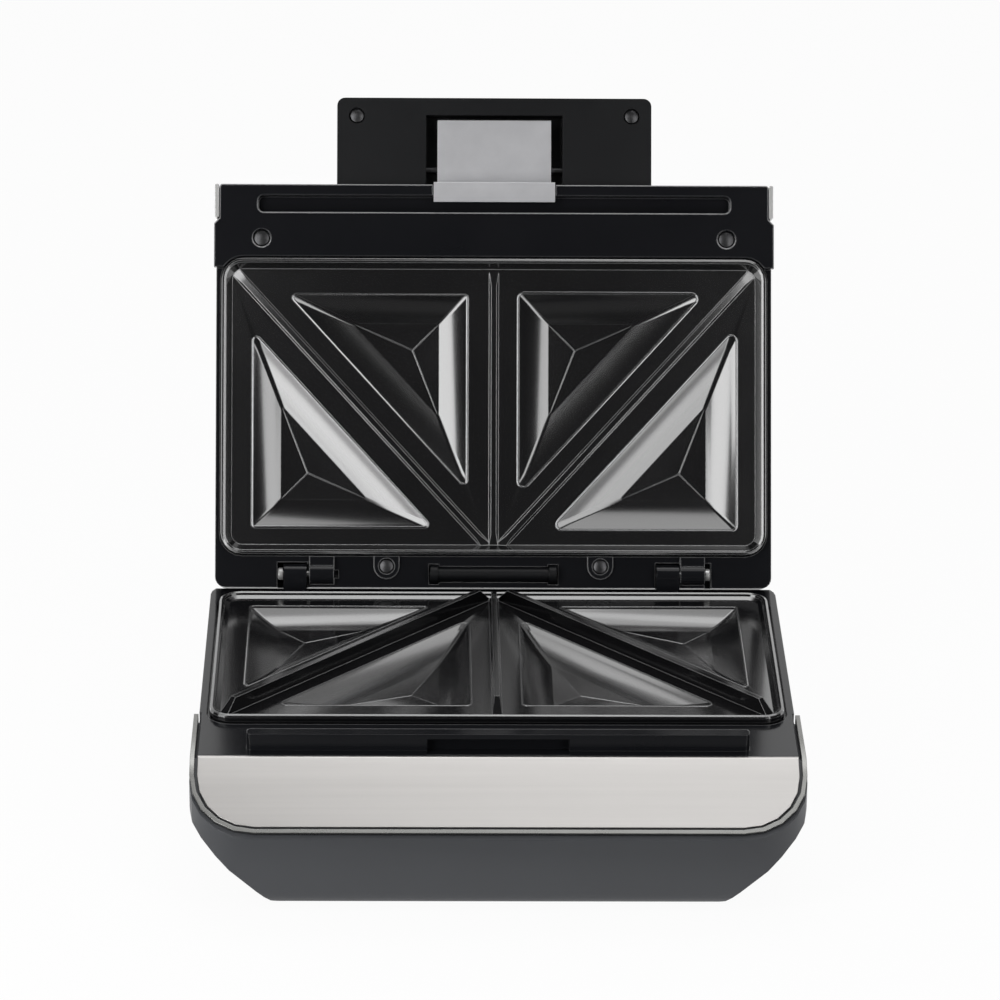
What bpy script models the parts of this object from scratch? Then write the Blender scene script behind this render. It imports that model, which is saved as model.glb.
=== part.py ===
# Sandwich maker: a hinged two plate toaster for triangular sandwiches, shown open with its lid leaning back.
# Lengths are in metres. Every piece is modelled where it lies with the lid closed: X runs to the right, Y to
# the back and Z up from the table, with Y at zero on the cooking plates' centre line. Empties on the hinge's
# axis and on the latch's pin then carry the lid and the latch to the open position.

import math

import bmesh
import bpy
from mathutils import Matrix, Vector

# Fits shared by all pieces
CLEARANCE = 0.0003
NOTCH_GAP = 0.0009
OVERRUN = 0.002
WELD = 0.000001
MIRROR_WELD = 0.00001
CREASE_ANGLE = math.radians(35)

# Cooking plates
PLATE_WIDTH = 0.242
PLATE_DEPTH = 0.132
PLATE_CORNER = 0.0095
PLATE_SKIN = 0.0026
BEAD_RADIUS = 0.0013
RIM_SLOPE = 0.002
LOWER_LAND = 0.0022
UPPER_LAND = 0.0056
LOWER_RIB_HEIGHT = 0.006
UPPER_RIB_HEIGHT = 0.001
RIB_TOP = 0.0024
RIB_FOOT = 0.0042
RIB_RAMP = 0.006
RIB_SIDE_INSET = 0.0061
RIB_FRONT_INSET = 0.006
RIB_CENTRE_INSET = 0.0027
RIB_BACK_INSET = 0.0037

# Triangular pockets of a plate, two to a slice
POCKET_CENTRE_LAND = 0.0113
POCKET_FRONT_LAND = 0.0155
POCKET_SIDE_LAND = 0.0133
POCKET_BACK_LAND = 0.0118
INNER_POCKET_LAND = 0.01
OUTER_POCKET_LAND = 0.0117
POCKET_CORNER = 0.002
POCKET_DEPTH = 0.007
POCKET_WALL_DEPTH = 0.0062
POCKET_WALL_SHARE = 0.526
WALL_CURVE_SHARE = 0.48
POCKET_WALL_STEPS = 6
BULGE_STEPS = 2
BULGE_SKIN_SHARE = 0.9
BEAD_STEPS = 4
ELEMENT_BEND_STEPS = 12
SHEET_BEND_STEPS = 4
SKIN_SHARE = 1.25

# Heights of the stack, from the table up
SHELL_BOTTOM = 0.003
RIM_HEIGHT = 0.061
PLATE_GAP = 0.0004
DECK_DROP = 0.0035
DECK_THICKNESS = 0.0035
LID_DROP = 0.004
LID_FRAME_THICKNESS = 0.007
LID_SHELL_HEIGHT = 0.0247

# Openings that hold the plates
DECK_OPENING_GAP = 0.001
LID_OPENING_GAP = 0.0005
LEDGE_WIDTH = 0.003

# Hinge
OPEN_ANGLE = math.radians(115)
HINGE_RISE = 0.0042
HINGE_SETBACK = 0.0085
REAR_OVERHANG = 0.006
REAR_CORNER = 0.011
LID_REAR_CORNER = 0.0045
STOP_GAP = 0.0004
KNUCKLE_RADIUS = 0.0045
KNUCKLE_STEPS = 8
KNUCKLE_UNDERSIDE_ANGLE = -145
KNUCKLE_SWEEP_GAP = 0.0007
HINGE_PIN_RADIUS = 0.0015
HINGE_HOLE_RADIUS = 0.00175
PIN_HEAD_RADIUS = 0.0028
PIN_HEAD_LENGTH = 0.0022
PIN_HEAD_BEVEL_SHARE = 0.8
PIN_STEPS = 16
LEFT_BASE_KNUCKLE = (-0.093, -0.0827)
LEFT_LID_KNUCKLE = (-0.0815, -0.0707)
RIGHT_BASE_KNUCKLE = (0.0722, 0.0825)
RIGHT_LID_KNUCKLE = (0.0829, 0.0937)
KNUCKLE_WEB = 0.0078
KNUCKLE_WEB_DROP = 0.0026
CONDUIT_HALF = 0.028
CONDUIT_RADIUS = 0.0032
CONDUIT_BORE = 0.0022
CONDUIT_FLANGE_RADIUS = 0.0042
CONDUIT_FLANGE_LENGTH = 0.0034

# Deck, with the long rib that enters the lid
DECK_MARGIN = 0.0042
FRONT_DECK = 0.0332
DECK_CREASE_GAP = 0.0015
RIB_END_INSET = 0.02095
RIB_DEPTH = 0.006
RIB_HEIGHT = 0.0073
RIB_CENTRE = 0.024
RIB_END_RADIUS = 0.0018
CATCH_HALF = 0.0295
CATCH_DEPTH = 0.004
STRIKE_THICKNESS = 0.0022
CATCH_RECESS = 0.001
CATCH_RECESS_FRONT = 0.0038

# Sloping apron and the trim round it
SLOPE_ANGLE = math.radians(30)
APRON_MARGIN = 0.0032
APRON_LENGTH = 0.0349
APRON_THICKNESS = 0.001
APRON_BEND = 0.0015
APRON_CORNER_WIDTH = 0.0239
APRON_CORNER_LENGTH = 0.0254
TRIM_GAP = 0.0013
TRIM_WIDTH = 0.0019
TRIM_PROUD = 0.0004
ARM_OVERLAP = 0.0083

# Lower shell
SHELL_WALL = 0.0024
BED_WALL = 0.003
NOSE_LIP = 0.0015
FRONT_RAKE = math.radians(8)
SHELL_CHAMFER = 0.036
SHELL_CHAMFER_RISE = 0.034
SIDE_FILLET = 0.006
FLOOR_FILLET = 0.009
REAR_FLOOR_FILLET = 0.004
FOOT_RADIUS = 0.007
FOOT_STEM_RADIUS = 0.0025
FOOT_STEM_RISE = 0.0022
FOOT_EDGE = 0.0114
FRONT_FOOT_INSET = 0.03
REAR_FOOT_INSET = 0.0125

# Lid frame and the strip on its front
LID_MARGIN = 0.0024
LID_FRONT = 0.0327
STRIP_PROUD = 0.003
STRIP_THICKNESS = 0.006
STRIP_ARM_PROUD = 0.001
STRIP_NOSE_INSET = 0.0014
STRIP_NOSE_DEPTH = 0.0148
STRIP_ARM_BACK = 0.0369
GROOVE_GAP = 0.00075
GROOVE_DEPTH = 0.005
CORNER_TRIM_WIDTH = 0.0018
CORNER_TRIM_REAR_CORNER = CORNER_TRIM_WIDTH / 3
CORNER_TRIM_FRONT_CORNER = CORNER_TRIM_WIDTH * 2 / 5
CORNER_TRIM_HEIGHT = 0.01

# Lid shell and its steel panel
LID_FRONT_WALL = 0.0013
LID_CHAMFER = 0.015
LID_FILLET = 0.006
LID_REAR_CHAMFER = 0.01
PANEL_SIDE_INSET = 0.0194
PANEL_THICKNESS = 0.0008
PANEL_BEND = 0.002
PANEL_START = 0.017
PANEL_REAR_INSET = 0.018
PANEL_CORNER = 0.014
LENS_SPACING = 0.016
LENS_ALONG = 0.028
LENS_RADIUS = 0.004
LENS_HEIGHT = 0.0018
LENS_DOME_SHARES = ((0.5, 0.87), (0.85, 0.5))
LENS_STEPS = 16
LENS_STEM_RADIUS = 0.003
LENS_STEM_LENGTH = 0.006
LAMP_HOLDER = (0.03, 0.01, 0.008)

# Handle
HANDLE_WIDTH = 0.14
HANDLE_REACH = 0.0392
HANDLE_DROP = 0.001
HANDLE_LOWER_THICKNESS = 0.005
HANDLE_UPPER_THICKNESS = 0.009
HANDLE_CORNER = 0.0035
RECESS_HALF = 0.0304
RECESS_REACH = 0.0315
RECESS_HEIGHT = 0.0108

# Latch, its pin and its spring
LATCH_PIN_REACH = 0.0075
LATCH_PIN_RISE = 0.0071
LATCH_PIN_RADIUS = 0.0015
LATCH_PIN_GAP = 0.0003
LATCH_PIN_HALF = 0.0325
LEVER_HALF = 0.0253
LEVER_REACH = 0.0295
LEVER_THICKNESS = 0.0025
LEVER_SUNK = 0.0005
HOOK_HALF = 0.02695
HOOK_FRONT = 0.001
HOOK_WEB = 0.0047
HOOK_BITE = 0.002
HOOK_TIP = 0.0009
HOOK_ROOT = 0.0021
HOOK_SIDE_GAP = 0.00035
LUG_RADIUS = 0.0032
SPRING_SLOT_HALF = 0.005
SPRING_WIRE = 0.0004
SPRING_RADIUS = 0.0026
SPRING_TURNS = 4
SPRING_STEPS = 10
SPRING_PITCH = 0.0014
SPRING_FRONT_LEG = 0.009
SPRING_REAR_LEG = 0.006

# Fasteners
SCREW_SHANK_RADIUS = 0.0015
SCREW_HEAD_HEIGHT = 0.0011
SCREW_DOME_SHARES = ((0.6, 0.9), (0.9, 0.55))
SCREW_STEPS = 12
DECK_SCREW_RADIUS = 0.003
DECK_SCREW_LENGTH = 0.007
DECK_SCREW_PLACE = (0.0477, 0.0035)
LID_SCREW_RADIUS = 0.0033
LID_SCREW_PLACE = (0.0474, 0.0035)
LID_SCREW_BOSS = 0.0015
LID_SCREW_BOSS_RADIUS = 0.0056
STRIP_SCREW_RADIUS = 0.0037
STRIP_SCREW_INSET = 0.0201
STRIP_SCREW_ALONG = 0.0087
HANDLE_SCREW_RADIUS = 0.0033
HANDLE_SCREW_INSET = 0.0088
HANDLE_SCREW_REACH = 0.0312
HANDLE_SCREW_LENGTH = 0.009
SCREW_LENGTH = 0.008
SCREW_SUNK = 0.0006

# Heating, and what is wired inside the base
ELEMENT_RADIUS = 0.00325
ELEMENT_LEG = 0.027
ELEMENT_END_INSET = 0.017
TRAY_SKIN = 0.0007
TRAY_TOP_INSET = (0.006, 0.004)
TRAY_FLOOR_INSET = (0.013, 0.011)
TRAY_FLANGE_INSET = (0.0005, 0)
TRAY_CORNER = 0.012
TRAY_UNDER_ELEMENT = 0.005
CLAMP_WIDTH = 0.006
CLAMP_HALF = 0.006
CLAMP_UNDER = 0.0012
THERMOSTAT_RADIUS = 0.0075
THERMOSTAT_HEIGHT = 0.008
THERMOSTAT_TOP_SHARE = 0.9
FUSE_RADIUS = 0.002
FUSE_STEPS = 12
FUSE_LENGTH = 0.012
FUSE_OFFSET = 0.014
TERMINAL_BLOCK = (0.03, 0.018, 0.012)
TERMINAL_INSET = 0.04
GLAND_X = -0.06
GLAND_RISE = 0.017
GLAND_BORE = 0.0035
GLAND_BODY = 0.005
GLAND_FLANGE = 0.0075
GLAND_FLANGE_LENGTH = 0.002
GLAND_INSIDE = 0.004

# Counts of the facets in a quarter, a fillet and a whole turn
CORNER_STEPS = 5
FILLET_STEPS = 4
TURN_STEPS = 16

# Places and heights that follow from the sizes above
PLATE_HALF = PLATE_WIDTH / 2
PLATE_FRONT = -PLATE_DEPTH / 2
PLATE_BACK = PLATE_DEPTH / 2
DECK_HALF = PLATE_HALF + DECK_MARGIN
APRON_HALF = PLATE_HALF + APRON_MARGIN
LID_HALF = PLATE_HALF + LID_MARGIN
STRIP_NOSE_HALF = LID_HALF - STRIP_NOSE_INSET
STRIP_ARM_HALF = LID_HALF + STRIP_ARM_PROUD
PANEL_HALF = LID_HALF - PANEL_SIDE_INSET
RIB_HALF = DECK_HALF - RIB_END_INSET
STRIP_SCREW_PLACE = (LID_HALF - STRIP_SCREW_INSET, STRIP_SCREW_ALONG)
ELEMENT_END = PLATE_HALF - ELEMENT_END_INSET
TRAY_TOP = (PLATE_HALF - TRAY_TOP_INSET[0], PLATE_BACK - TRAY_TOP_INSET[1])
TRAY_FLOOR = (PLATE_HALF - TRAY_FLOOR_INSET[0], PLATE_BACK - TRAY_FLOOR_INSET[1])
TRAY_FLANGE = (PLATE_HALF - TRAY_FLANGE_INSET[0], PLATE_BACK - TRAY_FLANGE_INSET[1])
DECK_TOP = RIM_HEIGHT - DECK_DROP
DECK_BOTTOM = DECK_TOP - DECK_THICKNESS
SHELL_TOP = DECK_BOTTOM - CLEARANCE
UPPER_RIM = RIM_HEIGHT + PLATE_GAP
LID_FACE = UPPER_RIM + LID_DROP
LID_FRAME_TOP = LID_FACE + LID_FRAME_THICKNESS
LID_SHELL_BOTTOM = LID_FRAME_TOP + CLEARANCE
LID_TOP = LID_SHELL_BOTTOM + LID_SHELL_HEIGHT
STRIP_FACE = LID_FACE - STRIP_PROUD
STRIP_TOP = STRIP_FACE + STRIP_THICKNESS
HINGE = Vector((0, PLATE_BACK + HINGE_SETBACK, RIM_HEIGHT + HINGE_RISE))
REAR = HINGE.y + REAR_OVERHANG
CREASE = PLATE_FRONT - FRONT_DECK
DECK_FRONT = CREASE + DECK_CREASE_GAP
ARM_END = PLATE_FRONT + ARM_OVERLAP
RIB_Y = PLATE_FRONT - RIB_CENTRE
RIB_Z = DECK_TOP + RIB_HEIGHT
LID_EDGE = PLATE_FRONT - LID_FRONT
HANDLE_REAR = LID_EDGE - CLEARANCE
HANDLE_FACE = LID_FACE + HANDLE_DROP
HANDLE_SPLIT = HANDLE_FACE + HANDLE_LOWER_THICKNESS
LATCH_PIN = Vector((0, LID_EDGE - LATCH_PIN_REACH, HANDLE_FACE + LATCH_PIN_RISE))
TRIM_INNER = APRON_HALF + TRIM_GAP
TRIM_OUTER = TRIM_INNER + TRIM_WIDTH
TRIM_LENGTH = APRON_LENGTH + TRIM_GAP + TRIM_WIDTH
FOOT_SIDE = TRIM_OUTER - SHELL_CHAMFER - FOOT_EDGE
HANDLE_SCREW_PLACE = (HANDLE_WIDTH / 2 - HANDLE_SCREW_INSET, HANDLE_SCREW_REACH)
NOSE = CREASE - (TRIM_LENGTH + NOSE_LIP) * math.cos(SLOPE_ANGLE)

# Frames that lay a flat outline out: seen from above, from the side, from the front, and on the two slopes
PLAN = Matrix.Identity(4)
SIDE = Matrix(((0, 0, 1, 0), (1, 0, 0, 0), (0, 1, 0, 0), (0, 0, 0, 1)))
FACE = Matrix(((1, 0, 0, 0), (0, 0, -1, 0), (0, 1, 0, 0), (0, 0, 0, 1)))
APRON_SLOPE = Matrix.Translation((0, CREASE, DECK_TOP)) @ Matrix.Rotation(SLOPE_ANGLE, 4, "X")
LID_SLOPE_START = Vector((0, LID_EDGE, LID_SHELL_BOTTOM + LID_FRONT_WALL))
LID_SLOPE = Matrix.Translation(LID_SLOPE_START) @ Matrix.Rotation(SLOPE_ANGLE, 4, "X")

# Colours, as linear values
PLATE_BLACK = (0.013, 0.013, 0.014, 0.42, 0)
GLOSS_BLACK = (0.01, 0.01, 0.012, 0.16, 0)
SATIN_BLACK = (0.016, 0.016, 0.018, 0.35, 0)
SHELL_GREY = (0.062, 0.062, 0.066, 0.45, 0)
SATIN_STEEL = (0.6, 0.58, 0.56, 0.36, 1)
SILVER = (0.56, 0.56, 0.56, 0.25, 1)
ZINC = (0.42, 0.42, 0.43, 0.35, 1)
ALUMINIUM = (0.7, 0.7, 0.71, 0.3, 1)
HEATER_GREY = (0.2, 0.2, 0.21, 0.5, 1)
RUBBER = (0.02, 0.02, 0.02, 0.7, 0)
RED = (0.6, 0.02, 0.01, 0.15, 0)
GREEN = (0.02, 0.45, 0.05, 0.15, 0)
CREAM = (0.75, 0.7, 0.6, 0.5, 0)


for old in list(bpy.data.objects):
    bpy.data.objects.remove(old, do_unlink=True)

PARTS = bpy.data.collections.new("sandwich_maker")
CUTTERS = bpy.data.collections.new("cutters")
bpy.context.scene.collection.children.link(PARTS)
bpy.context.scene.collection.children.link(CUTTERS)


# Shapes

def put(name, data, frame=PLAN, group=CUTTERS):
    piece = bpy.data.objects.new(name, data)
    piece.matrix_world = frame
    group.objects.link(piece)
    if group is CUTTERS:
        piece.hide_render = True
        piece.display_type = "WIRE"
    return piece


def rounded_rectangle(left, right, front, back, back_radii, front_radii):
    """Outline, counter-clockwise from the back right, whose corners are quarters of ellipses."""
    corners = (
        (right, back, -1, -1, back_radii, 0),
        (left, back, 1, -1, back_radii, 1),
        (left, front, 1, 1, front_radii, 2),
        (right, front, -1, 1, front_radii, 3),
    )
    outline = []
    for x, y, inward, up, (wide, deep), quarter in corners:
        for step in range(CORNER_STEPS + 1):
            angle = math.pi / 2 * (quarter + step / CORNER_STEPS)
            centre = Vector((x + inward * wide, y + up * deep))
            outline.append(centre + Vector((wide * math.cos(angle), deep * math.sin(angle))))
    return outline


def plate_outline(grow):
    """Outline of a cooking plate, made larger or smaller all round."""
    radius = (PLATE_CORNER + grow, PLATE_CORNER + grow)
    half = PLATE_HALF + grow
    return rounded_rectangle(-half, half, PLATE_FRONT - grow, PLATE_BACK + grow, radius, radius)


def fillet(points, radii):
    """Polygon with each corner rounded by its own radius, or left sharp where that is zero."""
    outline = []
    for index, radius in enumerate(radii):
        corner = Vector(points[index])
        if not radius:
            outline.append(corner)
            continue
        before = (Vector(points[index - 1]) - corner).normalized()
        after = (Vector(points[(index + 1) % len(points)]) - corner).normalized()
        half = before.angle(after) / 2
        centre = corner + (before + after).normalized() * radius / math.sin(half)
        start = corner + before * radius / math.tan(half) - centre
        end = corner + after * radius / math.tan(half) - centre
        turn = start.angle(end)
        for step in range(FILLET_STEPS + 1):
            share = step / FILLET_STEPS
            weights = (math.sin((1 - share) * turn), math.sin(share * turn))
            outline.append(centre + (start * weights[0] + end * weights[1]) / math.sin(turn))
    return outline


def inset(points, distances):
    """Convex polygon, counter-clockwise, with each side moved inwards by its own distance."""
    lines = []
    for index, distance in enumerate(distances):
        start = Vector(points[index])
        along = (Vector(points[(index + 1) % len(points)]) - start).normalized()
        lines.append((start + Vector((-along.y, along.x)) * distance, along))
    moved = []
    for index, (start, along) in enumerate(lines):
        other, across = lines[index - 1]
        reach = (start - other).cross(along) / across.cross(along)
        moved.append(other + across * reach)
    return moved


def arc(centre, radius, start, end, steps=TURN_STEPS // 2):
    """Points of an arc, with its angles in degrees."""
    points = []
    for step in range(steps + 1):
        angle = math.radians(start + (end - start) * step / steps)
        points.append(Vector(centre) + Vector((math.cos(angle), math.sin(angle))) * radius)
    return points


def circle(centre, radius, steps=TURN_STEPS):
    return arc(centre, radius, 0, 360, steps)[:-1]


def flat_solid(name, outlines, low, high, frame=PLAN, group=CUTTERS):
    """Plate cut to a closed outline, with further outlines as its holes, between two levels of a frame."""
    curve = bpy.data.curves.new(name, "CURVE")
    curve.dimensions = "2D"
    curve.fill_mode = "BOTH"
    curve.extrude = (high - low) / 2
    for outline in outlines:
        spline = curve.splines.new("POLY")
        spline.points.add(len(outline) - 1)
        for point, place in zip(spline.points, outline):
            point.co = (place[0], place[1], 0, 1)
        spline.use_cyclic_u = True
    drawn = put(name, curve)
    bpy.context.view_layer.update()
    mesh = bpy.data.meshes.new_from_object(drawn.evaluated_get(bpy.context.evaluated_depsgraph_get()))
    bpy.data.objects.remove(drawn, do_unlink=True)
    bpy.data.curves.remove(curve)
    shape = bmesh.new()
    shape.from_mesh(mesh)
    bmesh.ops.remove_doubles(shape, verts=shape.verts, dist=WELD)
    bmesh.ops.translate(shape, verts=shape.verts, vec=(0, 0, (low + high) / 2))
    bmesh.ops.recalc_face_normals(shape, faces=shape.faces)
    shape.to_mesh(mesh)
    shape.free()
    return put(name, mesh, frame, group)


def loft(name, rings, frame=PLAN, group=CUTTERS):
    """Solid through rings of equal counts, from its underside to its top. A ring of one point is a tip."""
    shape = bmesh.new()
    rows = [[shape.verts.new(place) for place in ring] for ring in rings]
    for lower, upper in zip(rows, rows[1:]):
        count = max(len(lower), len(upper))
        for index in range(count):
            following = (index + 1) % count
            corners = [lower[index % len(lower)], lower[following % len(lower)],
                       upper[following % len(upper)], upper[index % len(upper)]]
            shape.faces.new(list(dict.fromkeys(corners)))
    for row in (rows[0], rows[-1]):
        if len(row) > 1:
            shape.faces.new(row)
    bmesh.ops.recalc_face_normals(shape, faces=shape.faces)
    mesh = bpy.data.meshes.new(name)
    shape.to_mesh(mesh)
    shape.free()
    return put(name, mesh, frame, group)


def box(name, low, high, frame=PLAN, group=CUTTERS):
    low = Vector(low)
    size = Vector(high) - low
    shape = bmesh.new()
    place = Matrix.Translation(low + size / 2) @ Matrix.Diagonal(size).to_4x4()
    bmesh.ops.create_cube(shape, size=1, matrix=place)
    mesh = bpy.data.meshes.new(name)
    shape.to_mesh(mesh)
    shape.free()
    return put(name, mesh, frame, group)


def rod(name, radius, start, end, group=CUTTERS, steps=TURN_STEPS):
    """Cylinder between the centres of its two ends."""
    start = Vector(start)
    along = Vector(end) - start
    shape = bmesh.new()
    bmesh.ops.create_cone(shape, cap_ends=True, segments=steps, radius1=radius, radius2=radius,
                          depth=along.length)
    mesh = bpy.data.meshes.new(name)
    shape.to_mesh(mesh)
    shape.free()
    turn = along.to_track_quat("Z", "Y").to_matrix().to_4x4()
    return put(name, mesh, Matrix.Translation(start + along / 2) @ turn, group)


def turned(name, profile, frame=PLAN, closed=False, group=PARTS, steps=TURN_STEPS):
    """Profile of radius and height, running down its outer side, turned about the frame's Z axis."""
    mesh = bpy.data.meshes.new(name)
    edges = [(index, index + 1) for index in range(len(profile) - 1)]
    if closed:
        edges.append((len(profile) - 1, 0))
    mesh.from_pydata([(radius, 0, height) for radius, height in profile], edges, [])
    piece = put(name, mesh, frame, group)
    screw = piece.modifiers.new("turn", "SCREW")
    screw.steps = steps
    screw.render_steps = steps
    screw.use_merge_vertices = True
    screw.merge_threshold = WELD
    return piece


def tube(name, points, radius, resolution):
    """Round bar or wire along points, with closed ends."""
    curve = bpy.data.curves.new(name, "CURVE")
    curve.dimensions = "3D"
    curve.bevel_depth = radius
    curve.bevel_resolution = resolution
    curve.use_fill_caps = True
    spline = curve.splines.new("POLY")
    spline.points.add(len(points) - 1)
    for point, place in zip(spline.points, points):
        point.co = (*place, 1)
    return put(name, curve, PLAN, PARTS)


def combine(piece, others, operation):
    for other in others:
        step = piece.modifiers.new(other.name, "BOOLEAN")
        step.operation = operation
        step.solver = "EXACT"
        step.object = other
    return piece


def cut(piece, *others):
    return combine(piece, others, "DIFFERENCE")


def join(piece, *others):
    return combine(piece, others, "UNION")


def keep(piece, *others):
    return combine(piece, others, "INTERSECT")


def finish(piece, look):
    """Gives a piece its own material, from red, green, blue, roughness and metal, and smooth round sides."""
    *colour, roughness, metallic = look
    material = bpy.data.materials.new(piece.name)
    material.use_nodes = True
    shader = material.node_tree.nodes["Principled BSDF"]
    shader.inputs["Base Color"].default_value = (*colour, 1)
    shader.inputs["Roughness"].default_value = roughness
    shader.inputs["Metallic"].default_value = metallic
    material.diffuse_color = (*colour, 1)
    piece.data.materials.append(material)
    if piece.type == "MESH" and piece.data.polygons:
        piece.data.shade_smooth()
        piece.data.set_sharp_from_angle(angle=CREASE_ANGLE)
    return piece


def hang_on(empty, pivot):
    """Parents what was made since the last call to an empty at a point of the closed layout."""
    for piece in bpy.data.objects:
        if piece.parent is None and piece.type in {"MESH", "CURVE"}:
            piece.parent = empty
            piece.matrix_parent_inverse = Matrix.Translation(-pivot)


# Cooking plates, modelled face up with the rim's top at zero

DIAGONAL_START = Vector((RIB_SIDE_INSET - PLATE_HALF, PLATE_FRONT + RIB_FRONT_INSET))
DIAGONAL_END = Vector((-RIB_CENTRE_INSET, PLATE_BACK - RIB_BACK_INSET))
DIAGONAL = (DIAGONAL_END - DIAGONAL_START).normalized()
ACROSS_DIAGONAL = Vector((DIAGONAL.y, -DIAGONAL.x))


def pocket_triangle(corner, offset, grow):
    """Right triangle with its corner at a place of the left half, its long side beside the diagonal rib."""
    x, y = corner
    line = DIAGONAL_START + ACROSS_DIAGONAL * offset
    level = Vector((line.x + (y - line.y) * DIAGONAL.x / DIAGONAL.y, y))
    upright = Vector((x, line.y + (x - line.x) * DIAGONAL.y / DIAGONAL.x))
    points = [Vector(corner), upright, level]
    if (points[1] - points[0]).cross(points[2] - points[0]) < 0:
        points.reverse()
    return inset(points, [-grow] * 3)


def pocket_rings(triangle, corner_radius, land, skin, steps):
    """Rings from a pocket's edge down its scooped walls and on over a shallow pyramid."""
    sides = [(triangle[(i + 1) % 3] - triangle[i]).length for i in range(3)]
    apex = Vector((0, 0))
    for i in range(3):
        apex += triangle[i] * sides[(i + 1) % 3] / sum(sides)
    edge = fillet(triangle, [corner_radius] * 3)
    rings = []
    for step in range(steps + 1):
        share = step / steps
        depth = POCKET_WALL_DEPTH * share * (1 + WALL_CURVE_SHARE * (1 - share))
        ring = [place.lerp(apex, POCKET_WALL_SHARE * share) for place in edge]
        rings.append([(place.x, place.y, -land - skin - depth) for place in ring])
    rings.append([(apex.x, apex.y, -land - skin - POCKET_DEPTH)])
    return rings


def cooking_plate(name, land, rib_height):
    """Left half with its rim, ribs and pockets, mirrored about the centre."""
    def ring(inwards, height):
        return [(x, y, height) for x, y in plate_outline(-inwards)]

    rings = [ring(0, -land - PLATE_SKIN)]
    for step in range(BEAD_STEPS + 1):
        turn = math.pi * (1 - step / BEAD_STEPS)
        rings.append(ring(BEAD_RADIUS * (1 + math.cos(turn)), BEAD_RADIUS * (math.sin(turn) - 1)))
    rings.append(ring(2 * BEAD_RADIUS + RIM_SLOPE, -land))
    plate = loft(name, rings, group=PARTS)

    rib_foot = -land - PLATE_SKIN / 2
    spread = (RIB_FOOT - RIB_TOP) / 2 * (PLATE_SKIN / 2) / rib_height
    ribs = []
    for label, start, end in (
        ("centre_rib", Vector((0, PLATE_FRONT + RIB_FRONT_INSET)), Vector((0, DIAGONAL_END.y))),
        ("diagonal_rib", DIAGONAL_START, DIAGONAL_END),
    ):
        along = (end - start).normalized()
        side = Vector((-along.y, along.x))
        levels = []
        for height, half, shorter in (
            (rib_foot, RIB_FOOT / 2 + min(spread, RIB_FOOT / 2), -RIB_TOP / 2),
            (-land, RIB_FOOT / 2, 0),
            (-land + rib_height, RIB_TOP / 2, RIB_RAMP),
        ):
            near, far = start + along * shorter, end - along * shorter
            corners = (near - side * half, far - side * half, far + side * half, near + side * half)
            levels.append([(*corner, height) for corner in corners])
        ribs.append(loft(f"{name}_{label}", levels))
    join(plate, *ribs)

    pockets = (
        ("inner_pocket", (-POCKET_CENTRE_LAND, PLATE_FRONT + POCKET_FRONT_LAND), INNER_POCKET_LAND),
        ("outer_pocket", (POCKET_SIDE_LAND - PLATE_HALF, PLATE_BACK - POCKET_BACK_LAND), -OUTER_POCKET_LAND),
    )
    for label, corner, offset in pockets:
        bulge = pocket_triangle(corner, offset, PLATE_SKIN * BULGE_SKIN_SHARE)
        rings = pocket_rings(bulge, POCKET_CORNER, land, PLATE_SKIN * SKIN_SHARE, BULGE_STEPS)
        top = [(x, y, -land - PLATE_SKIN / 2) for x, y, z in rings[0]]
        join(plate, loft(f"{name}_{label}_back", [top] + rings))
    for label, corner, offset in pockets:
        hollow = pocket_triangle(corner, offset, 0)
        rings = pocket_rings(hollow, POCKET_CORNER, land, 0, POCKET_WALL_STEPS)
        top = [(x, y, -land + OVERRUN) for x, y, z in rings[0]]
        cut(plate, loft(f"{name}_{label}", [top] + rings))

    mirror = plate.modifiers.new("right_half", "MIRROR")
    mirror.use_axis = (True, False, False)
    mirror.use_bisect_axis = (True, False, False)
    mirror.use_bisect_flip_axis = (True, False, False)
    mirror.use_clip = True
    mirror.merge_threshold = MIRROR_WELD
    return finish(plate, PLATE_BLACK)


def place_plate(plate, frame):
    """Moves a plate with its cutters, whose names start with its own."""
    for piece in bpy.data.objects:
        if piece.name.startswith(plate.name):
            piece.matrix_world = frame @ piece.matrix_world


# Heating

def heating_element(name, height):
    points = [(-ELEMENT_END, -ELEMENT_LEG, height)]
    centre = (ELEMENT_END - ELEMENT_LEG - TRAY_CORNER, 0)
    points += [(*place, height) for place in arc(centre, ELEMENT_LEG, -90, 90, ELEMENT_BEND_STEPS)]
    points.append((-ELEMENT_END, ELEMENT_LEG, height))
    return finish(tube(name, points, ELEMENT_RADIUS, 3), HEATER_GREY)


def reflector(name, flange, floor, away):
    """Pressed tray whose flange lies against a frame and whose floor lies beyond the heating element."""
    def ring(sizes, height, grow=0.0):
        wide, deep = sizes[0] + grow, sizes[1] + grow
        radius = (TRAY_CORNER + grow, TRAY_CORNER + grow)
        return [(x, y, height) for x, y in rounded_rectangle(-wide, wide, -deep, deep, radius, radius)]

    rings = [
        ring(TRAY_FLOOR, floor),
        ring(TRAY_TOP, flange, -TRAY_SKIN),
        ring(TRAY_FLANGE, flange),
        ring(TRAY_FLANGE, flange + away * TRAY_SKIN),
        ring(TRAY_TOP, flange + away * TRAY_SKIN),
        ring(TRAY_FLOOR, floor + away * TRAY_SKIN, TRAY_SKIN),
    ]
    return finish(loft(name, rings, group=PARTS), ALUMINIUM)


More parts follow.
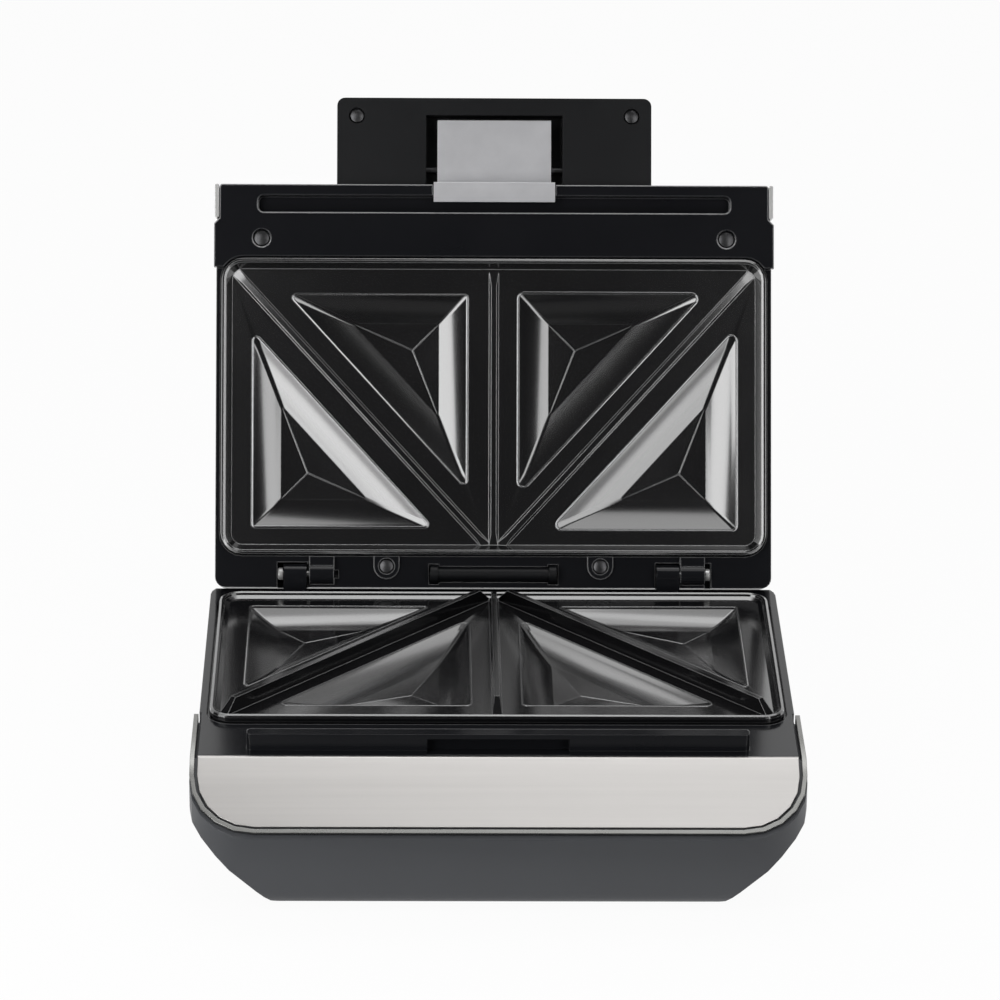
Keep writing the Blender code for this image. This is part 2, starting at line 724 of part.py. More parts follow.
def element_clamp(name, leg, height, plate_back, away):
    """Block below a plate that holds one leg of the heating element in a bore."""
    end = height + away * (ELEMENT_RADIUS + CLEARANCE + CLAMP_UNDER)
    low, high = sorted((plate_back + away * CLEARANCE, end))
    left, right = leg - CLAMP_HALF, leg + CLAMP_HALF
    outline = [(left, low), (right, low), (right, high), (left, high)]
    bore = circle((leg, height), ELEMENT_RADIUS + CLEARANCE)
    clamp = flat_solid(name, [outline, bore], -CLAMP_WIDTH / 2, CLAMP_WIDTH / 2, SIDE, PARTS)
    return finish(clamp, ZINC)


def heat(side, rim, land, frame_back, away):
    """Heating element, its clamps and its tray, on the far side of a plate from its rim."""
    back = rim + away * (land + PLATE_SKIN)
    height = back + away * (PLATE_SKIN * (SKIN_SHARE - 1) + POCKET_DEPTH + CLEARANCE + ELEMENT_RADIUS)
    heating_element(f"{side}_heating_element", height)
    element_clamp(f"{side}_element_clamp_front", -ELEMENT_LEG, height, back, away)
    element_clamp(f"{side}_element_clamp_rear", ELEMENT_LEG, height, back, away)
    floor = height + away * (ELEMENT_RADIUS + TRAY_UNDER_ELEMENT)
    reflector(f"{side}_reflector", frame_back + away * CLEARANCE, floor, away)
    return floor + away * TRAY_SKIN


def screw(name, head_radius, length, place, side):
    """Screw with a low domed head, whose underside is at a place, and a shank that runs on from it."""
    crown = SCREW_HEAD_HEIGHT
    dome = [(head_radius * across, crown * up) for across, up in SCREW_DOME_SHARES]
    profile = [(0, crown), *dome, (head_radius, 0), (SCREW_SHANK_RADIUS, 0), (SCREW_SHANK_RADIUS, -length),
               (0, -length)]
    turn = Matrix.Identity(4) if side > 0 else Matrix.Rotation(math.pi, 4, "X")
    piece = turned(name, profile, Matrix.Translation(place) @ turn, steps=SCREW_STEPS)
    return finish(piece, ZINC)


# Base

def lower_shell():
    """Moulded housing: three outlines crossed, hollow, with a bed for the apron."""
    half = TRIM_OUTER
    bed_drop = (APRON_THICKNESS + CLEARANCE) / math.cos(SLOPE_ANGLE)
    slope = math.tan(SLOPE_ANGLE)
    nose_height = DECK_TOP - bed_drop + (NOSE - CREASE) * slope
    foot = NOSE + (nose_height - SHELL_BOTTOM) * math.tan(FRONT_RAKE)
    ridge_back = DECK_FRONT - CLEARANCE
    ridge_top = DECK_TOP - APRON_THICKNESS - CLEARANCE
    ridge_front = CREASE + (ridge_top - DECK_TOP + bed_drop) / slope
    profile = fillet(
        [(foot, SHELL_BOTTOM), (REAR, SHELL_BOTTOM), (REAR, SHELL_TOP), (ridge_back, SHELL_TOP),
         (ridge_back, ridge_top), (ridge_front, ridge_top), (NOSE, nose_height)],
        [FLOOR_FILLET, REAR_FLOOR_FILLET, 0, 0, 0, 0, 0],
    )
    shell = flat_solid("lower_shell", [profile], -half - OVERRUN, half + OVERRUN, SIDE, PARTS)

    above = DECK_TOP + OVERRUN
    chamfer_top = SHELL_BOTTOM + SHELL_CHAMFER_RISE
    corners = [(-half + SHELL_CHAMFER, SHELL_BOTTOM), (half - SHELL_CHAMFER, SHELL_BOTTOM),
               (half, chamfer_top), (half, above), (-half, above),
               (-half, chamfer_top)]
    radii = [FLOOR_FILLET, FLOOR_FILLET, SIDE_FILLET, 0, 0, SIDE_FILLET]
    outline = fillet(corners, radii)
    keep(shell, flat_solid("shell_front_outline", [outline], -REAR - OVERRUN, -NOSE + OVERRUN, FACE))

    corner_wide = APRON_CORNER_WIDTH + TRIM_GAP + TRIM_WIDTH
    corner_deep = (APRON_CORNER_LENGTH + TRIM_GAP + TRIM_WIDTH) * math.cos(SLOPE_ANGLE)
    rear_half = DECK_HALF
    front = rounded_rectangle(-half, half, NOSE, ARM_END, (0, 0), (corner_wide, corner_deep))
    corner = (REAR_CORNER, REAR_CORNER)
    rear = rounded_rectangle(-rear_half, rear_half, ARM_END - OVERRUN, REAR, corner, (0, 0))
    front_plan = flat_solid("shell_front_plan", [tidy(front)], 0, above)
    keep(shell, join(front_plan, flat_solid("shell_rear_plan", [tidy(rear)], -OVERRUN, above + OVERRUN)))

    inner_foot = (foot, SHELL_BOTTOM)
    bed_inner_y = CREASE + (above - DECK_TOP + bed_drop) / slope
    within = [inner_foot, (REAR, SHELL_BOTTOM), (REAR, above), (bed_inner_y, above), (NOSE, nose_height)]
    hollow = inset(within, [SHELL_WALL, SHELL_WALL, 0, BED_WALL, SHELL_WALL])
    radii = [FLOOR_FILLET - SHELL_WALL, REAR_FLOOR_FILLET - SHELL_WALL, 0, 0, 0]
    cavity = flat_solid("shell_hollow", [fillet(hollow, radii)], -half - OVERRUN, half + OVERRUN, SIDE)
    inner = inset(corners, [SHELL_WALL, SHELL_WALL, SHELL_WALL, -OVERRUN, SHELL_WALL, SHELL_WALL])
    inner_half = rear_half - SHELL_WALL
    narrow = [(max(-inner_half, min(inner_half, x)), z) for x, z in inner]
    radii = [FLOOR_FILLET - SHELL_WALL, FLOOR_FILLET - SHELL_WALL, 0, 0, 0, 0]
    keep(cavity, flat_solid("hollow_front_outline", [fillet(narrow, radii)], -REAR, -NOSE, FACE))
    deep = (REAR_CORNER - SHELL_WALL, REAR_CORNER - SHELL_WALL)
    front_corner = (corner_wide, corner_deep)
    plan = rounded_rectangle(-inner_half, inner_half, NOSE, REAR - SHELL_WALL, deep, front_corner)
    keep(cavity, flat_solid("hollow_plan", [plan], 0, above + 2 * OVERRUN))
    cut(shell, cavity)

    for name, x, y in feet():
        top = SHELL_BOTTOM + FLOOR_FILLET
        cut(shell, rod(f"{name}_hole", FOOT_STEM_RADIUS + CLEARANCE, (x, y, 0), (x, y, top)))
    height = SHELL_BOTTOM + GLAND_RISE
    cut(shell, rod("gland_hole", GLAND_BODY + CLEARANCE, (GLAND_X, REAR - REAR_CORNER, height),
                   (GLAND_X, REAR + OVERRUN, height)))
    return finish(shell, SHELL_GREY)


def tidy(outline):
    """Outline without the repeated points of a corner of no radius."""
    kept = []
    for point in outline:
        if not kept or (point - kept[-1]).length > WELD:
            kept.append(point)
    return kept


def feet():
    front = NOSE + FRONT_FOOT_INSET
    rear = REAR - REAR_FOOT_INSET
    for depth, y in (("front", front), ("rear", rear)):
        for side, x in (("left", -FOOT_SIDE), ("right", FOOT_SIDE)):
            yield f"foot_{depth}_{side}", x, y


def foot(name, x, y):
    pad = SHELL_BOTTOM - CLEARANCE
    stem = SHELL_BOTTOM + SHELL_WALL + FOOT_STEM_RISE
    profile = [(0, stem), (FOOT_STEM_RADIUS, stem), (FOOT_STEM_RADIUS, pad), (FOOT_RADIUS, pad),
               (FOOT_RADIUS, pad / 3), (FOOT_RADIUS - pad / 3, 0), (0, 0)]
    finish(turned(name, profile, Matrix.Translation((x, y, 0))), RUBBER)


def knuckle_profile(drop):
    """Hinge knuckle seen from the side, standing on a foot that reaches down to a level."""
    centre = (HINGE.y, HINGE.z)
    top = arc(centre, KNUCKLE_RADIUS, 0, 180)
    return [(HINGE.y - KNUCKLE_RADIUS, drop), (HINGE.y + KNUCKLE_RADIUS, drop)] + top


def stepped_outline(half, front_half, front, waist, rear_corner):
    """Outline with round rear corners that narrows, by a short slant, ahead of its waist."""
    corner = (rear_corner, rear_corner)
    rear = rounded_rectangle(-half, half, front, REAR, corner, (0, 0))[:2 * CORNER_STEPS + 2]
    slant = waist + half - front_half
    left = [Vector((-half, slant)), Vector((-front_half, waist)), Vector((-front_half, front))]
    return rear + left + [Vector((-x, y)) for x, y in reversed(left)]


def base_frame():
    """Deck with the plate's opening and its ledge, the long rib, and two hinge knuckles."""
    half = DECK_HALF
    front_half = APRON_HALF
    waist = ARM_END + TRIM_GAP
    outline = stepped_outline(half, front_half, DECK_FRONT, waist, REAR_CORNER)
    deck = flat_solid("base_frame", [outline], DECK_BOTTOM, DECK_TOP, group=PARTS)

    stop = Vector((math.cos(OPEN_ANGLE), -math.sin(OPEN_ANGLE)))
    edge = Vector((HINGE.y, HINGE.z)) + stop * (REAR_OVERHANG + STOP_GAP)
    along = Vector((-stop.y, stop.x))
    low, high = edge - along * REAR, edge + along * REAR
    wedge = [low, high, high - stop * REAR, low - stop * REAR]
    cut(deck, flat_solid("stop_face", [wedge], -half - OVERRUN, half + OVERRUN, SIDE))

    ledge = DECK_TOP + DECK_DROP - LOWER_LAND - PLATE_SKIN - CLEARANCE
    cut(deck, flat_solid("deck_opening", [plate_outline(DECK_OPENING_GAP)], ledge, DECK_TOP + OVERRUN))
    below, above = DECK_BOTTOM - OVERRUN, DECK_TOP + OVERRUN
    cut(deck, flat_solid("deck_hole", [plate_outline(-LEDGE_WIDTH)], below, above))

    end = (RIB_END_RADIUS, RIB_END_RADIUS)
    rib_front = RIB_Y - RIB_DEPTH / 2
    rib = rounded_rectangle(-RIB_HALF, RIB_HALF, rib_front, RIB_Y + RIB_DEPTH / 2, end, end)
    join(deck, flat_solid("deck_rib", [rib], DECK_TOP - DECK_THICKNESS / 2, RIB_Z))
    for label, (left, right) in (("left", LEFT_BASE_KNUCKLE), ("right", RIGHT_BASE_KNUCKLE)):
        profile = knuckle_profile(DECK_BOTTOM + DECK_THICKNESS / 4)
        join(deck, flat_solid(f"{label}_base_knuckle", [profile], left, right, SIDE))

    strike = RIB_Z - STRIKE_THICKNESS
    cut(deck, box("catch", (-CATCH_HALF, rib_front - CATCH_RECESS_FRONT, DECK_TOP - CATCH_RECESS),
                  (CATCH_HALF, rib_front + CATCH_DEPTH, strike)))
    for label, (left, right) in (("left", LEFT_BASE_KNUCKLE), ("right", RIGHT_BASE_KNUCKLE)):
        start, end = (left - OVERRUN, HINGE.y, HINGE.z), (right + OVERRUN, HINGE.y, HINGE.z)
        cut(deck, rod(f"{label}_base_knuckle_hole", HINGE_HOLE_RADIUS, start, end))
    x, y = DECK_SCREW_PLACE
    for label, across in (("left", -x), ("right", x)):
        low, high = (across, HINGE.y - y, below), (across, HINGE.y - y, above)
        cut(deck, rod(f"deck_screw_{label}_hole", SCREW_SHANK_RADIUS + CLEARANCE, low, high))
    return finish(deck, GLOSS_BLACK)


def bent_sheet(name, path, half, thickness):
    """Sheet along a side view path, thickened on its underside."""
    mesh = bpy.data.meshes.new(name)
    places = [(x, y, z) for x in (-half, half) for y, z in path]
    count = len(path)
    faces = [(index, index + 1, count + index + 1, count + index) for index in range(count - 1)]
    mesh.from_pydata(places, [], faces)
    sheet = put(name, mesh, group=PARTS)
    solid = sheet.modifiers.new("thickness", "SOLIDIFY")
    solid.thickness = thickness
    solid.offset = -1
    solid.use_even_offset = True
    return sheet


def slope_outline(half, length, corner_wide, corner_deep, above):
    """Outline on the apron's slope, from above the crease down to round lower corners."""
    return tidy(rounded_rectangle(-half, half, -length, above, (0, 0), (corner_wide, corner_deep)))


def front_apron():
    """Steel sheet bent at the crease, with round lower corners."""
    centre_y = CREASE + APRON_BEND * math.tan(SLOPE_ANGLE / 2)
    centre = (centre_y, DECK_TOP - APRON_BEND)
    bend = arc(centre, APRON_BEND, 90, 90 + math.degrees(SLOPE_ANGLE), SHEET_BEND_STEPS)
    far = APRON_SLOPE @ Vector((0, -APRON_LENGTH - OVERRUN, 0))
    path = [(DECK_FRONT - CLEARANCE, DECK_TOP)] + [tuple(place) for place in bend] + [(far.y, far.z)]
    apron = bent_sheet("front_apron", path, APRON_HALF + OVERRUN, APRON_THICKNESS)
    corner = (APRON_CORNER_WIDTH, APRON_CORNER_LENGTH)
    outline = slope_outline(APRON_HALF, APRON_LENGTH, *corner, FRONT_DECK)
    keep(apron, flat_solid("apron_outline", [outline], -FRONT_DECK, FRONT_DECK, APRON_SLOPE))
    return finish(apron, SATIN_STEEL)


def front_trim():
    """Silver strip round three sides of the apron, running back beside the deck."""
    bed = -APRON_THICKNESS
    grow = TRIM_GAP + TRIM_WIDTH
    corner = (APRON_CORNER_WIDTH + grow, APRON_CORNER_LENGTH + grow)
    outer = slope_outline(TRIM_OUTER, TRIM_LENGTH, *corner, 0)
    ring = flat_solid("front_trim", [outer], bed, TRIM_PROUD, APRON_SLOPE, PARTS)
    grow = TRIM_GAP
    inner = slope_outline(TRIM_INNER, APRON_LENGTH + grow, APRON_CORNER_WIDTH + grow,
                          APRON_CORNER_LENGTH + grow, FRONT_DECK)
    cut(ring, flat_solid("trim_inside", [inner], bed - OVERRUN, TRIM_PROUD + OVERRUN, APRON_SLOPE))
    slope = math.tan(SLOPE_ANGLE)
    tilt = math.cos(SLOPE_ANGLE)
    floor = SHELL_TOP + CLEARANCE
    ahead = CREASE - TRIM_WIDTH
    end = ARM_END - CLEARANCE
    seat = DECK_TOP - APRON_THICKNESS
    top = DECK_TOP + TRIM_PROUD
    side = [(ahead, DECK_TOP - APRON_THICKNESS / tilt - TRIM_WIDTH * slope),
            (CREASE + APRON_THICKNESS * (1 / tilt - 1) / slope, seat),
            (DECK_FRONT, seat), (DECK_FRONT, floor), (end, floor), (end, top),
            (CREASE - TRIM_PROUD * (1 / tilt - 1) / slope, top),
            (ahead, DECK_TOP + TRIM_PROUD / tilt - TRIM_WIDTH * slope)]
    for label, left, right in (("left", -TRIM_OUTER, -TRIM_INNER), ("right", TRIM_INNER, TRIM_OUTER)):
        join(ring, flat_solid(f"{label}_trim_arm", [side], left, right, SIDE))
    return finish(ring, SILVER)


def hinge_pin(name, head_side, start, end):
    """Pin through a base knuckle and a lid knuckle, with its head outside them."""
    shank = abs(end - start)
    bevel = [(PIN_HEAD_RADIUS * PIN_HEAD_BEVEL_SHARE, PIN_HEAD_LENGTH),
             (PIN_HEAD_RADIUS, PIN_HEAD_LENGTH * PIN_HEAD_BEVEL_SHARE)]
    profile = [(0, PIN_HEAD_LENGTH), *bevel, (PIN_HEAD_RADIUS, 0), (HINGE_PIN_RADIUS, 0),
               (HINGE_PIN_RADIUS, -shank), (0, -shank)]
    turn = Matrix.Rotation(head_side * math.pi / 2, 4, "Y")
    place = Matrix.Translation((start + head_side * CLEARANCE, HINGE.y, HINGE.z))
    finish(turned(name, profile, place @ turn, steps=PIN_STEPS), ZINC)


def base_fittings():
    """What is fixed inside the base or on it: heating, wiring block, gland, feet, pins and screws."""
    under = heat("lower", RIM_HEIGHT, LOWER_LAND, DECK_BOTTOM, -1)
    top = under - CLEARANCE
    bottom = top - THERMOSTAT_HEIGHT
    profile = [(0, top), (THERMOSTAT_RADIUS * THERMOSTAT_TOP_SHARE, top),
               (THERMOSTAT_RADIUS, top - THERMOSTAT_HEIGHT / 8), (THERMOSTAT_RADIUS, bottom), (0, bottom)]
    finish(turned("thermostat", profile), CREAM)
    height = top - FUSE_RADIUS
    finish(rod("thermal_fuse", FUSE_RADIUS, (FUSE_OFFSET, 0, height), (FUSE_OFFSET + FUSE_LENGTH, 0, height),
               PARTS, FUSE_STEPS), CREAM)
    floor = SHELL_BOTTOM + SHELL_WALL + CLEARANCE
    wide, deep, tall = TERMINAL_BLOCK
    back = REAR - SHELL_WALL - TERMINAL_INSET
    low, high = (GLAND_X - wide / 2, back - deep, floor), (GLAND_X + wide / 2, back, floor + tall)
    finish(box("terminal_block", low, high, group=PARTS), CREAM)
    outside = REAR + CLEARANCE
    inside = REAR - SHELL_WALL - GLAND_INSIDE
    lip, end = outside + GLAND_FLANGE_LENGTH, outside + GLAND_FLANGE_LENGTH * 2
    profile = [(GLAND_BODY, end), (GLAND_FLANGE, lip), (GLAND_FLANGE, outside), (GLAND_BODY, outside),
               (GLAND_BODY, inside), (GLAND_BORE, inside), (GLAND_BORE, end)]
    place = Matrix.Translation((GLAND_X, 0, SHELL_BOTTOM + GLAND_RISE))
    place = place @ Matrix.Rotation(-math.pi / 2, 4, "X")
    finish(turned("cord_gland", profile, place, closed=True), RUBBER)
    for name, x, y in feet():
        foot(name, x, y)
    hinge_pin("left_hinge_pin", -1, LEFT_BASE_KNUCKLE[0], LEFT_LID_KNUCKLE[1])
    hinge_pin("right_hinge_pin", 1, RIGHT_LID_KNUCKLE[1], RIGHT_BASE_KNUCKLE[0])
    x, y = DECK_SCREW_PLACE
    for label, across in (("left", -x), ("right", x)):
        screw(f"deck_screw_{label}", DECK_SCREW_RADIUS, DECK_SCREW_LENGTH,
              (across, HINGE.y - y, DECK_TOP + CLEARANCE), 1)


# Lid

def knuckle_notches(piece, above):
    """Clears a lid piece from the base's knuckles and pin heads, to a height above the hinge."""
    reach = KNUCKLE_RADIUS + KNUCKLE_SWEEP_GAP
    head = PIN_HEAD_LENGTH + 2 * CLEARANCE
    notches = (
        ("left_knuckle_notch", LEFT_BASE_KNUCKLE[0] - head, LEFT_BASE_KNUCKLE[1] + CLEARANCE, reach, above),
        ("right_knuckle_notch", RIGHT_BASE_KNUCKLE[0] - CLEARANCE, RIGHT_BASE_KNUCKLE[1] + CLEARANCE / 2,
         reach, above),
        ("right_head_notch", RIGHT_LID_KNUCKLE[1], RIGHT_LID_KNUCKLE[1] + head, reach, reach),
    )
    for name, left, right, ahead, top in notches:
        cut(piece, box(f"{piece.name}_{name}", (left, HINGE.y - ahead, LID_FACE - 4 * KNUCKLE_RADIUS),
                       (right, REAR + OVERRUN, HINGE.z + top)))


def lid_knuckle_profile():
    """Hinge knuckle hanging from the lid's frame, with a web running forward to the plate."""
    centre = (HINGE.y, HINGE.z)
    web = HINGE.y - KNUCKLE_WEB
    root = LID_FACE + LID_FRAME_THICKNESS / 3
    under = arc(centre, KNUCKLE_RADIUS, KNUCKLE_UNDERSIDE_ANGLE, 0, KNUCKLE_STEPS)
    return [(web, HINGE.z - KNUCKLE_WEB_DROP)] + under + [(HINGE.y + KNUCKLE_RADIUS, root), (web, root)]


def lid_frame():
    """Inner frame of the lid: plate opening and ledge, strip's seat, knuckles and conduit channel."""
    half = LID_HALF
    nose_half = STRIP_NOSE_HALF
    nose_end = LID_EDGE + STRIP_NOSE_DEPTH + CLEARANCE
    outline = stepped_outline(half, nose_half, LID_EDGE, nose_end, LID_REAR_CORNER)
    frame = flat_solid("lid_frame", [outline], LID_FACE, LID_FRAME_TOP, group=PARTS)
    low = LID_FACE - OVERRUN

    root = LID_FACE + LID_FRAME_THICKNESS / 2
    x, y = LID_SCREW_PLACE
    boss_front = PLATE_BACK + LID_OPENING_GAP
    for label, across in (("left", -x), ("right", x)):
        boss = arc((across, HINGE.y - y), LID_SCREW_BOSS_RADIUS, 0, 180)
        boss.append(Vector((across - LID_SCREW_BOSS_RADIUS, boss_front)))
        boss.append(Vector((across + LID_SCREW_BOSS_RADIUS, boss_front)))
        join(frame, flat_solid(f"{label}_screw_boss", [boss], LID_FACE - LID_SCREW_BOSS, root))
    for label, (left, right) in (("left", LEFT_LID_KNUCKLE), ("right", RIGHT_LID_KNUCKLE)):
        join(frame, flat_solid(f"{label}_lid_knuckle", [lid_knuckle_profile()], left, right, SIDE))

    ledge = LID_FACE - LID_DROP + UPPER_LAND + PLATE_SKIN + CLEARANCE
    cut(frame, flat_solid("lid_opening", [plate_outline(LID_OPENING_GAP)], low, ledge))
    cut(frame, flat_solid("lid_hole", [plate_outline(-LEDGE_WIDTH)], low, LID_FRAME_TOP + OVERRUN))
    strip_back = LID_EDGE + STRIP_ARM_BACK + CLEARANCE
    cut(frame, box("strip_seat", (-half - OVERRUN, LID_EDGE - OVERRUN, low),
                   (half + OVERRUN, strip_back, STRIP_TOP + CLEARANCE)))
    notch = HOOK_HALF + HOOK_SIDE_GAP
    cut(frame, box("frame_latch_notch", (-notch, LID_EDGE - OVERRUN, low),
                   (notch, hook_rear() + NOTCH_GAP, LID_FRAME_TOP + OVERRUN)))
    knuckle_notches(frame, KNUCKLE_RADIUS + DECK_THICKNESS)
    for label, (left, right) in (("left", LEFT_LID_KNUCKLE), ("right", RIGHT_LID_KNUCKLE)):
        start, end = (left - OVERRUN, HINGE.y, HINGE.z), (right + OVERRUN, HINGE.y, HINGE.z)
        cut(frame, rod(f"{label}_lid_knuckle_hole", HINGE_HOLE_RADIUS, start, end))
    flange = CONDUIT_HALF - CONDUIT_FLANGE_LENGTH
    for label, radius, start, end in (
        ("barrel", CONDUIT_RADIUS, -CONDUIT_HALF, CONDUIT_HALF),
        ("left_flange", CONDUIT_FLANGE_RADIUS, -CONDUIT_HALF - CLEARANCE, -flange),
        ("right_flange", CONDUIT_FLANGE_RADIUS, flange, CONDUIT_HALF + CLEARANCE),
    ):
        spread = CLEARANCE if label != "barrel" else 0
        cut(frame, rod(f"conduit_{label}_seat", radius + CLEARANCE, (start - spread, HINGE.y, HINGE.z),
                       (end + spread, HINGE.y, HINGE.z)))
    for label, across in (("left", -x), ("right", x)):
        place = (across, HINGE.y - y)
        head = LID_FACE - LID_SCREW_BOSS + SCREW_HEAD_HEIGHT + SCREW_SUNK
        wide, narrow = LID_SCREW_RADIUS + CLEARANCE, SCREW_SHANK_RADIUS + CLEARANCE
        cut(frame, rod(f"{label}_screw_counterbore", wide, (*place, low - OVERRUN), (*place, head)))
        cut(frame, rod(f"{label}_screw_hole", narrow, (*place, low), (*place, LID_FRAME_TOP + OVERRUN)))
    x, y = STRIP_SCREW_PLACE
    for label, across in (("left", -x), ("right", x)):
        place = (across, PLATE_FRONT - y)
        cut(frame, rod(f"{label}_strip_screw_hole", SCREW_SHANK_RADIUS + CLEARANCE,
                       (*place, STRIP_TOP - OVERRUN), (*place, LID_FRAME_TOP + OVERRUN)))
    return finish(frame, GLOSS_BLACK)


def hook_rear():
    return LID_EDGE - HOOK_FRONT + HOOK_WEB


def lid_front_strip():
    """Strip on the lid's front: groove for the deck's rib, latch notch, and horns beside the plate."""
    nose_half = STRIP_NOSE_HALF
    half = STRIP_ARM_HALF
    nose_end = LID_EDGE + STRIP_NOSE_DEPTH + CLEARANCE
    back = LID_EDGE + STRIP_ARM_BACK
    slant = nose_end + half - nose_half
    right = [(nose_half, LID_EDGE), (nose_half, nose_end), (half, slant), (half, back)]
    left = [(-x, y) for x, y in right]
    outline = [left[0]] + right + left[:0:-1]
    radii = [HANDLE_CORNER / 3, HANDLE_CORNER / 3, 0, 0, 0, 0, 0, 0]
    strip = flat_solid("lid_front_strip", [fillet(outline, radii)], STRIP_FACE, STRIP_TOP, group=PARTS)
    low = STRIP_FACE - OVERRUN
    cut(strip, flat_solid("strip_opening", [plate_outline(LID_OPENING_GAP)], low, STRIP_TOP + OVERRUN))
    long = RIB_HALF + GROOVE_GAP
    end = (RIB_END_RADIUS + GROOVE_GAP, RIB_END_RADIUS + GROOVE_GAP)
    deep = RIB_DEPTH / 2 + GROOVE_GAP
    groove = rounded_rectangle(-long, long, RIB_Y - deep, RIB_Y + deep, end, end)
    cut(strip, flat_solid("groove", [groove], low, STRIP_FACE + GROOVE_DEPTH))
    notch = HOOK_HALF + HOOK_SIDE_GAP
    cut(strip, box("strip_latch_notch", (-notch, LID_EDGE - OVERRUN, low),
                   (notch, hook_rear() + NOTCH_GAP, STRIP_TOP + OVERRUN)))
    x, y = STRIP_SCREW_PLACE
    for label, across in (("left", -x), ("right", x)):
        place = (across, PLATE_FRONT - y)
        head = STRIP_FACE + SCREW_HEAD_HEIGHT + SCREW_SUNK
        wide, narrow = STRIP_SCREW_RADIUS + CLEARANCE, SCREW_SHANK_RADIUS + CLEARANCE
        cut(strip, rod(f"{label}_strip_counterbore", wide, (*place, low), (*place, head)))
        cut(strip, rod(f"{label}_strip_hole", narrow, (*place, low), (*place, STRIP_TOP + OVERRUN)))
    return finish(strip, GLOSS_BLACK)


def lid_corner_trims():
    """Silver end pieces on the two front corners of the lid."""
    inner = STRIP_NOSE_HALF + CLEARANCE
    top = STRIP_FACE + CORNER_TRIM_HEIGHT
    for label, side in (("left", -1), ("right", 1)):
        near, far = sorted((side * inner, side * (inner + CORNER_TRIM_WIDTH)))
        outline = rounded_rectangle(near, far, LID_EDGE, LID_EDGE + STRIP_NOSE_DEPTH,
                                    (CORNER_TRIM_REAR_CORNER,) * 2, (CORNER_TRIM_FRONT_CORNER,) * 2)
        finish(flat_solid(f"lid_corner_trim_{label}", [outline], STRIP_FACE, top, group=PARTS), SILVER)


def lid_shell():
    """Moulded outer housing: three outlines crossed and hollowed, with notches for hinge and lamps."""
    half = LID_HALF
    slope = math.tan(SLOPE_ANGLE)
    rise = LID_TOP - LID_SLOPE_START.z
    top_front = LID_EDGE + rise / slope
    points = [(LID_EDGE, LID_SHELL_BOTTOM), (REAR, LID_SHELL_BOTTOM),
              (REAR, LID_TOP - LID_REAR_CHAMFER),
              (REAR - LID_REAR_CHAMFER, LID_TOP), (top_front, LID_TOP), (LID_EDGE, LID_SLOPE_START.z)]
    round_top = [0, 0, LID_FILLET, LID_FILLET, LID_FILLET, 0]
    shell = flat_solid("lid_shell", [fillet(points, round_top)], -half, half, SIDE, PARTS)
    below = LID_SHELL_BOTTOM - OVERRUN
    corners = [(-half, below), (half, below), (half, LID_TOP - LID_CHAMFER), (half - LID_CHAMFER, LID_TOP),
               (LID_CHAMFER - half, LID_TOP), (-half, LID_TOP - LID_CHAMFER)]
    radii = [0, 0, LID_FILLET, LID_FILLET, LID_FILLET, LID_FILLET]
    outline = fillet(corners, radii)
    keep(shell, flat_solid("lid_front_outline", [outline], -REAR - OVERRUN, OVERRUN - LID_EDGE, FACE))
    front_corner = (HANDLE_CORNER, HANDLE_CORNER)
    rear_corner = (LID_REAR_CORNER, LID_REAR_CORNER)
    plan = rounded_rectangle(-half, half, LID_EDGE, REAR, rear_corner, front_corner)
    keep(shell, flat_solid("lid_plan", [plan], below, LID_TOP + OVERRUN))

    wall = SHELL_WALL
    inner = inset(points, [-OVERRUN, wall, wall, wall, wall, wall])
    inner_fillet = LID_FILLET / 2
    outline = fillet(inner, [0, 0, inner_fillet, inner_fillet, inner_fillet, 0])
    hollow = flat_solid("lid_hollow", [outline], -half, half, SIDE)
    inner_corners = inset(corners, [0, wall, wall, wall, wall, wall])
    keep(hollow, flat_solid("lid_hollow_front", [inner_corners], -REAR, -LID_EDGE, FACE))
    inner_radius = (LID_REAR_CORNER - wall, LID_REAR_CORNER - wall)
    plan = rounded_rectangle(wall - half, half - wall, LID_EDGE + wall, REAR - wall, inner_radius,
                             (HANDLE_CORNER / 2, HANDLE_CORNER / 2))
    keep(hollow, flat_solid("lid_hollow_plan", [plan], below - OVERRUN, LID_TOP))
    cut(shell, hollow)
    knuckle_notches(shell, KNUCKLE_RADIUS + DECK_THICKNESS)
    for label, x in lenses():
        cut(shell, lens_hole(f"{label}_shell_hole", x))
    return finish(shell, SHELL_GREY)


def lenses():
    return (("power_lens", -LENS_SPACING / 2), ("ready_lens", LENS_SPACING / 2))


def lens_hole(name, x):
    low = LID_SLOPE @ Vector((x, LENS_ALONG, -SHELL_WALL - OVERRUN))
    high = LID_SLOPE @ Vector((x, LENS_ALONG, PANEL_THICKNESS + OVERRUN))
    return rod(name, LENS_STEM_RADIUS + CLEARANCE, low, high)


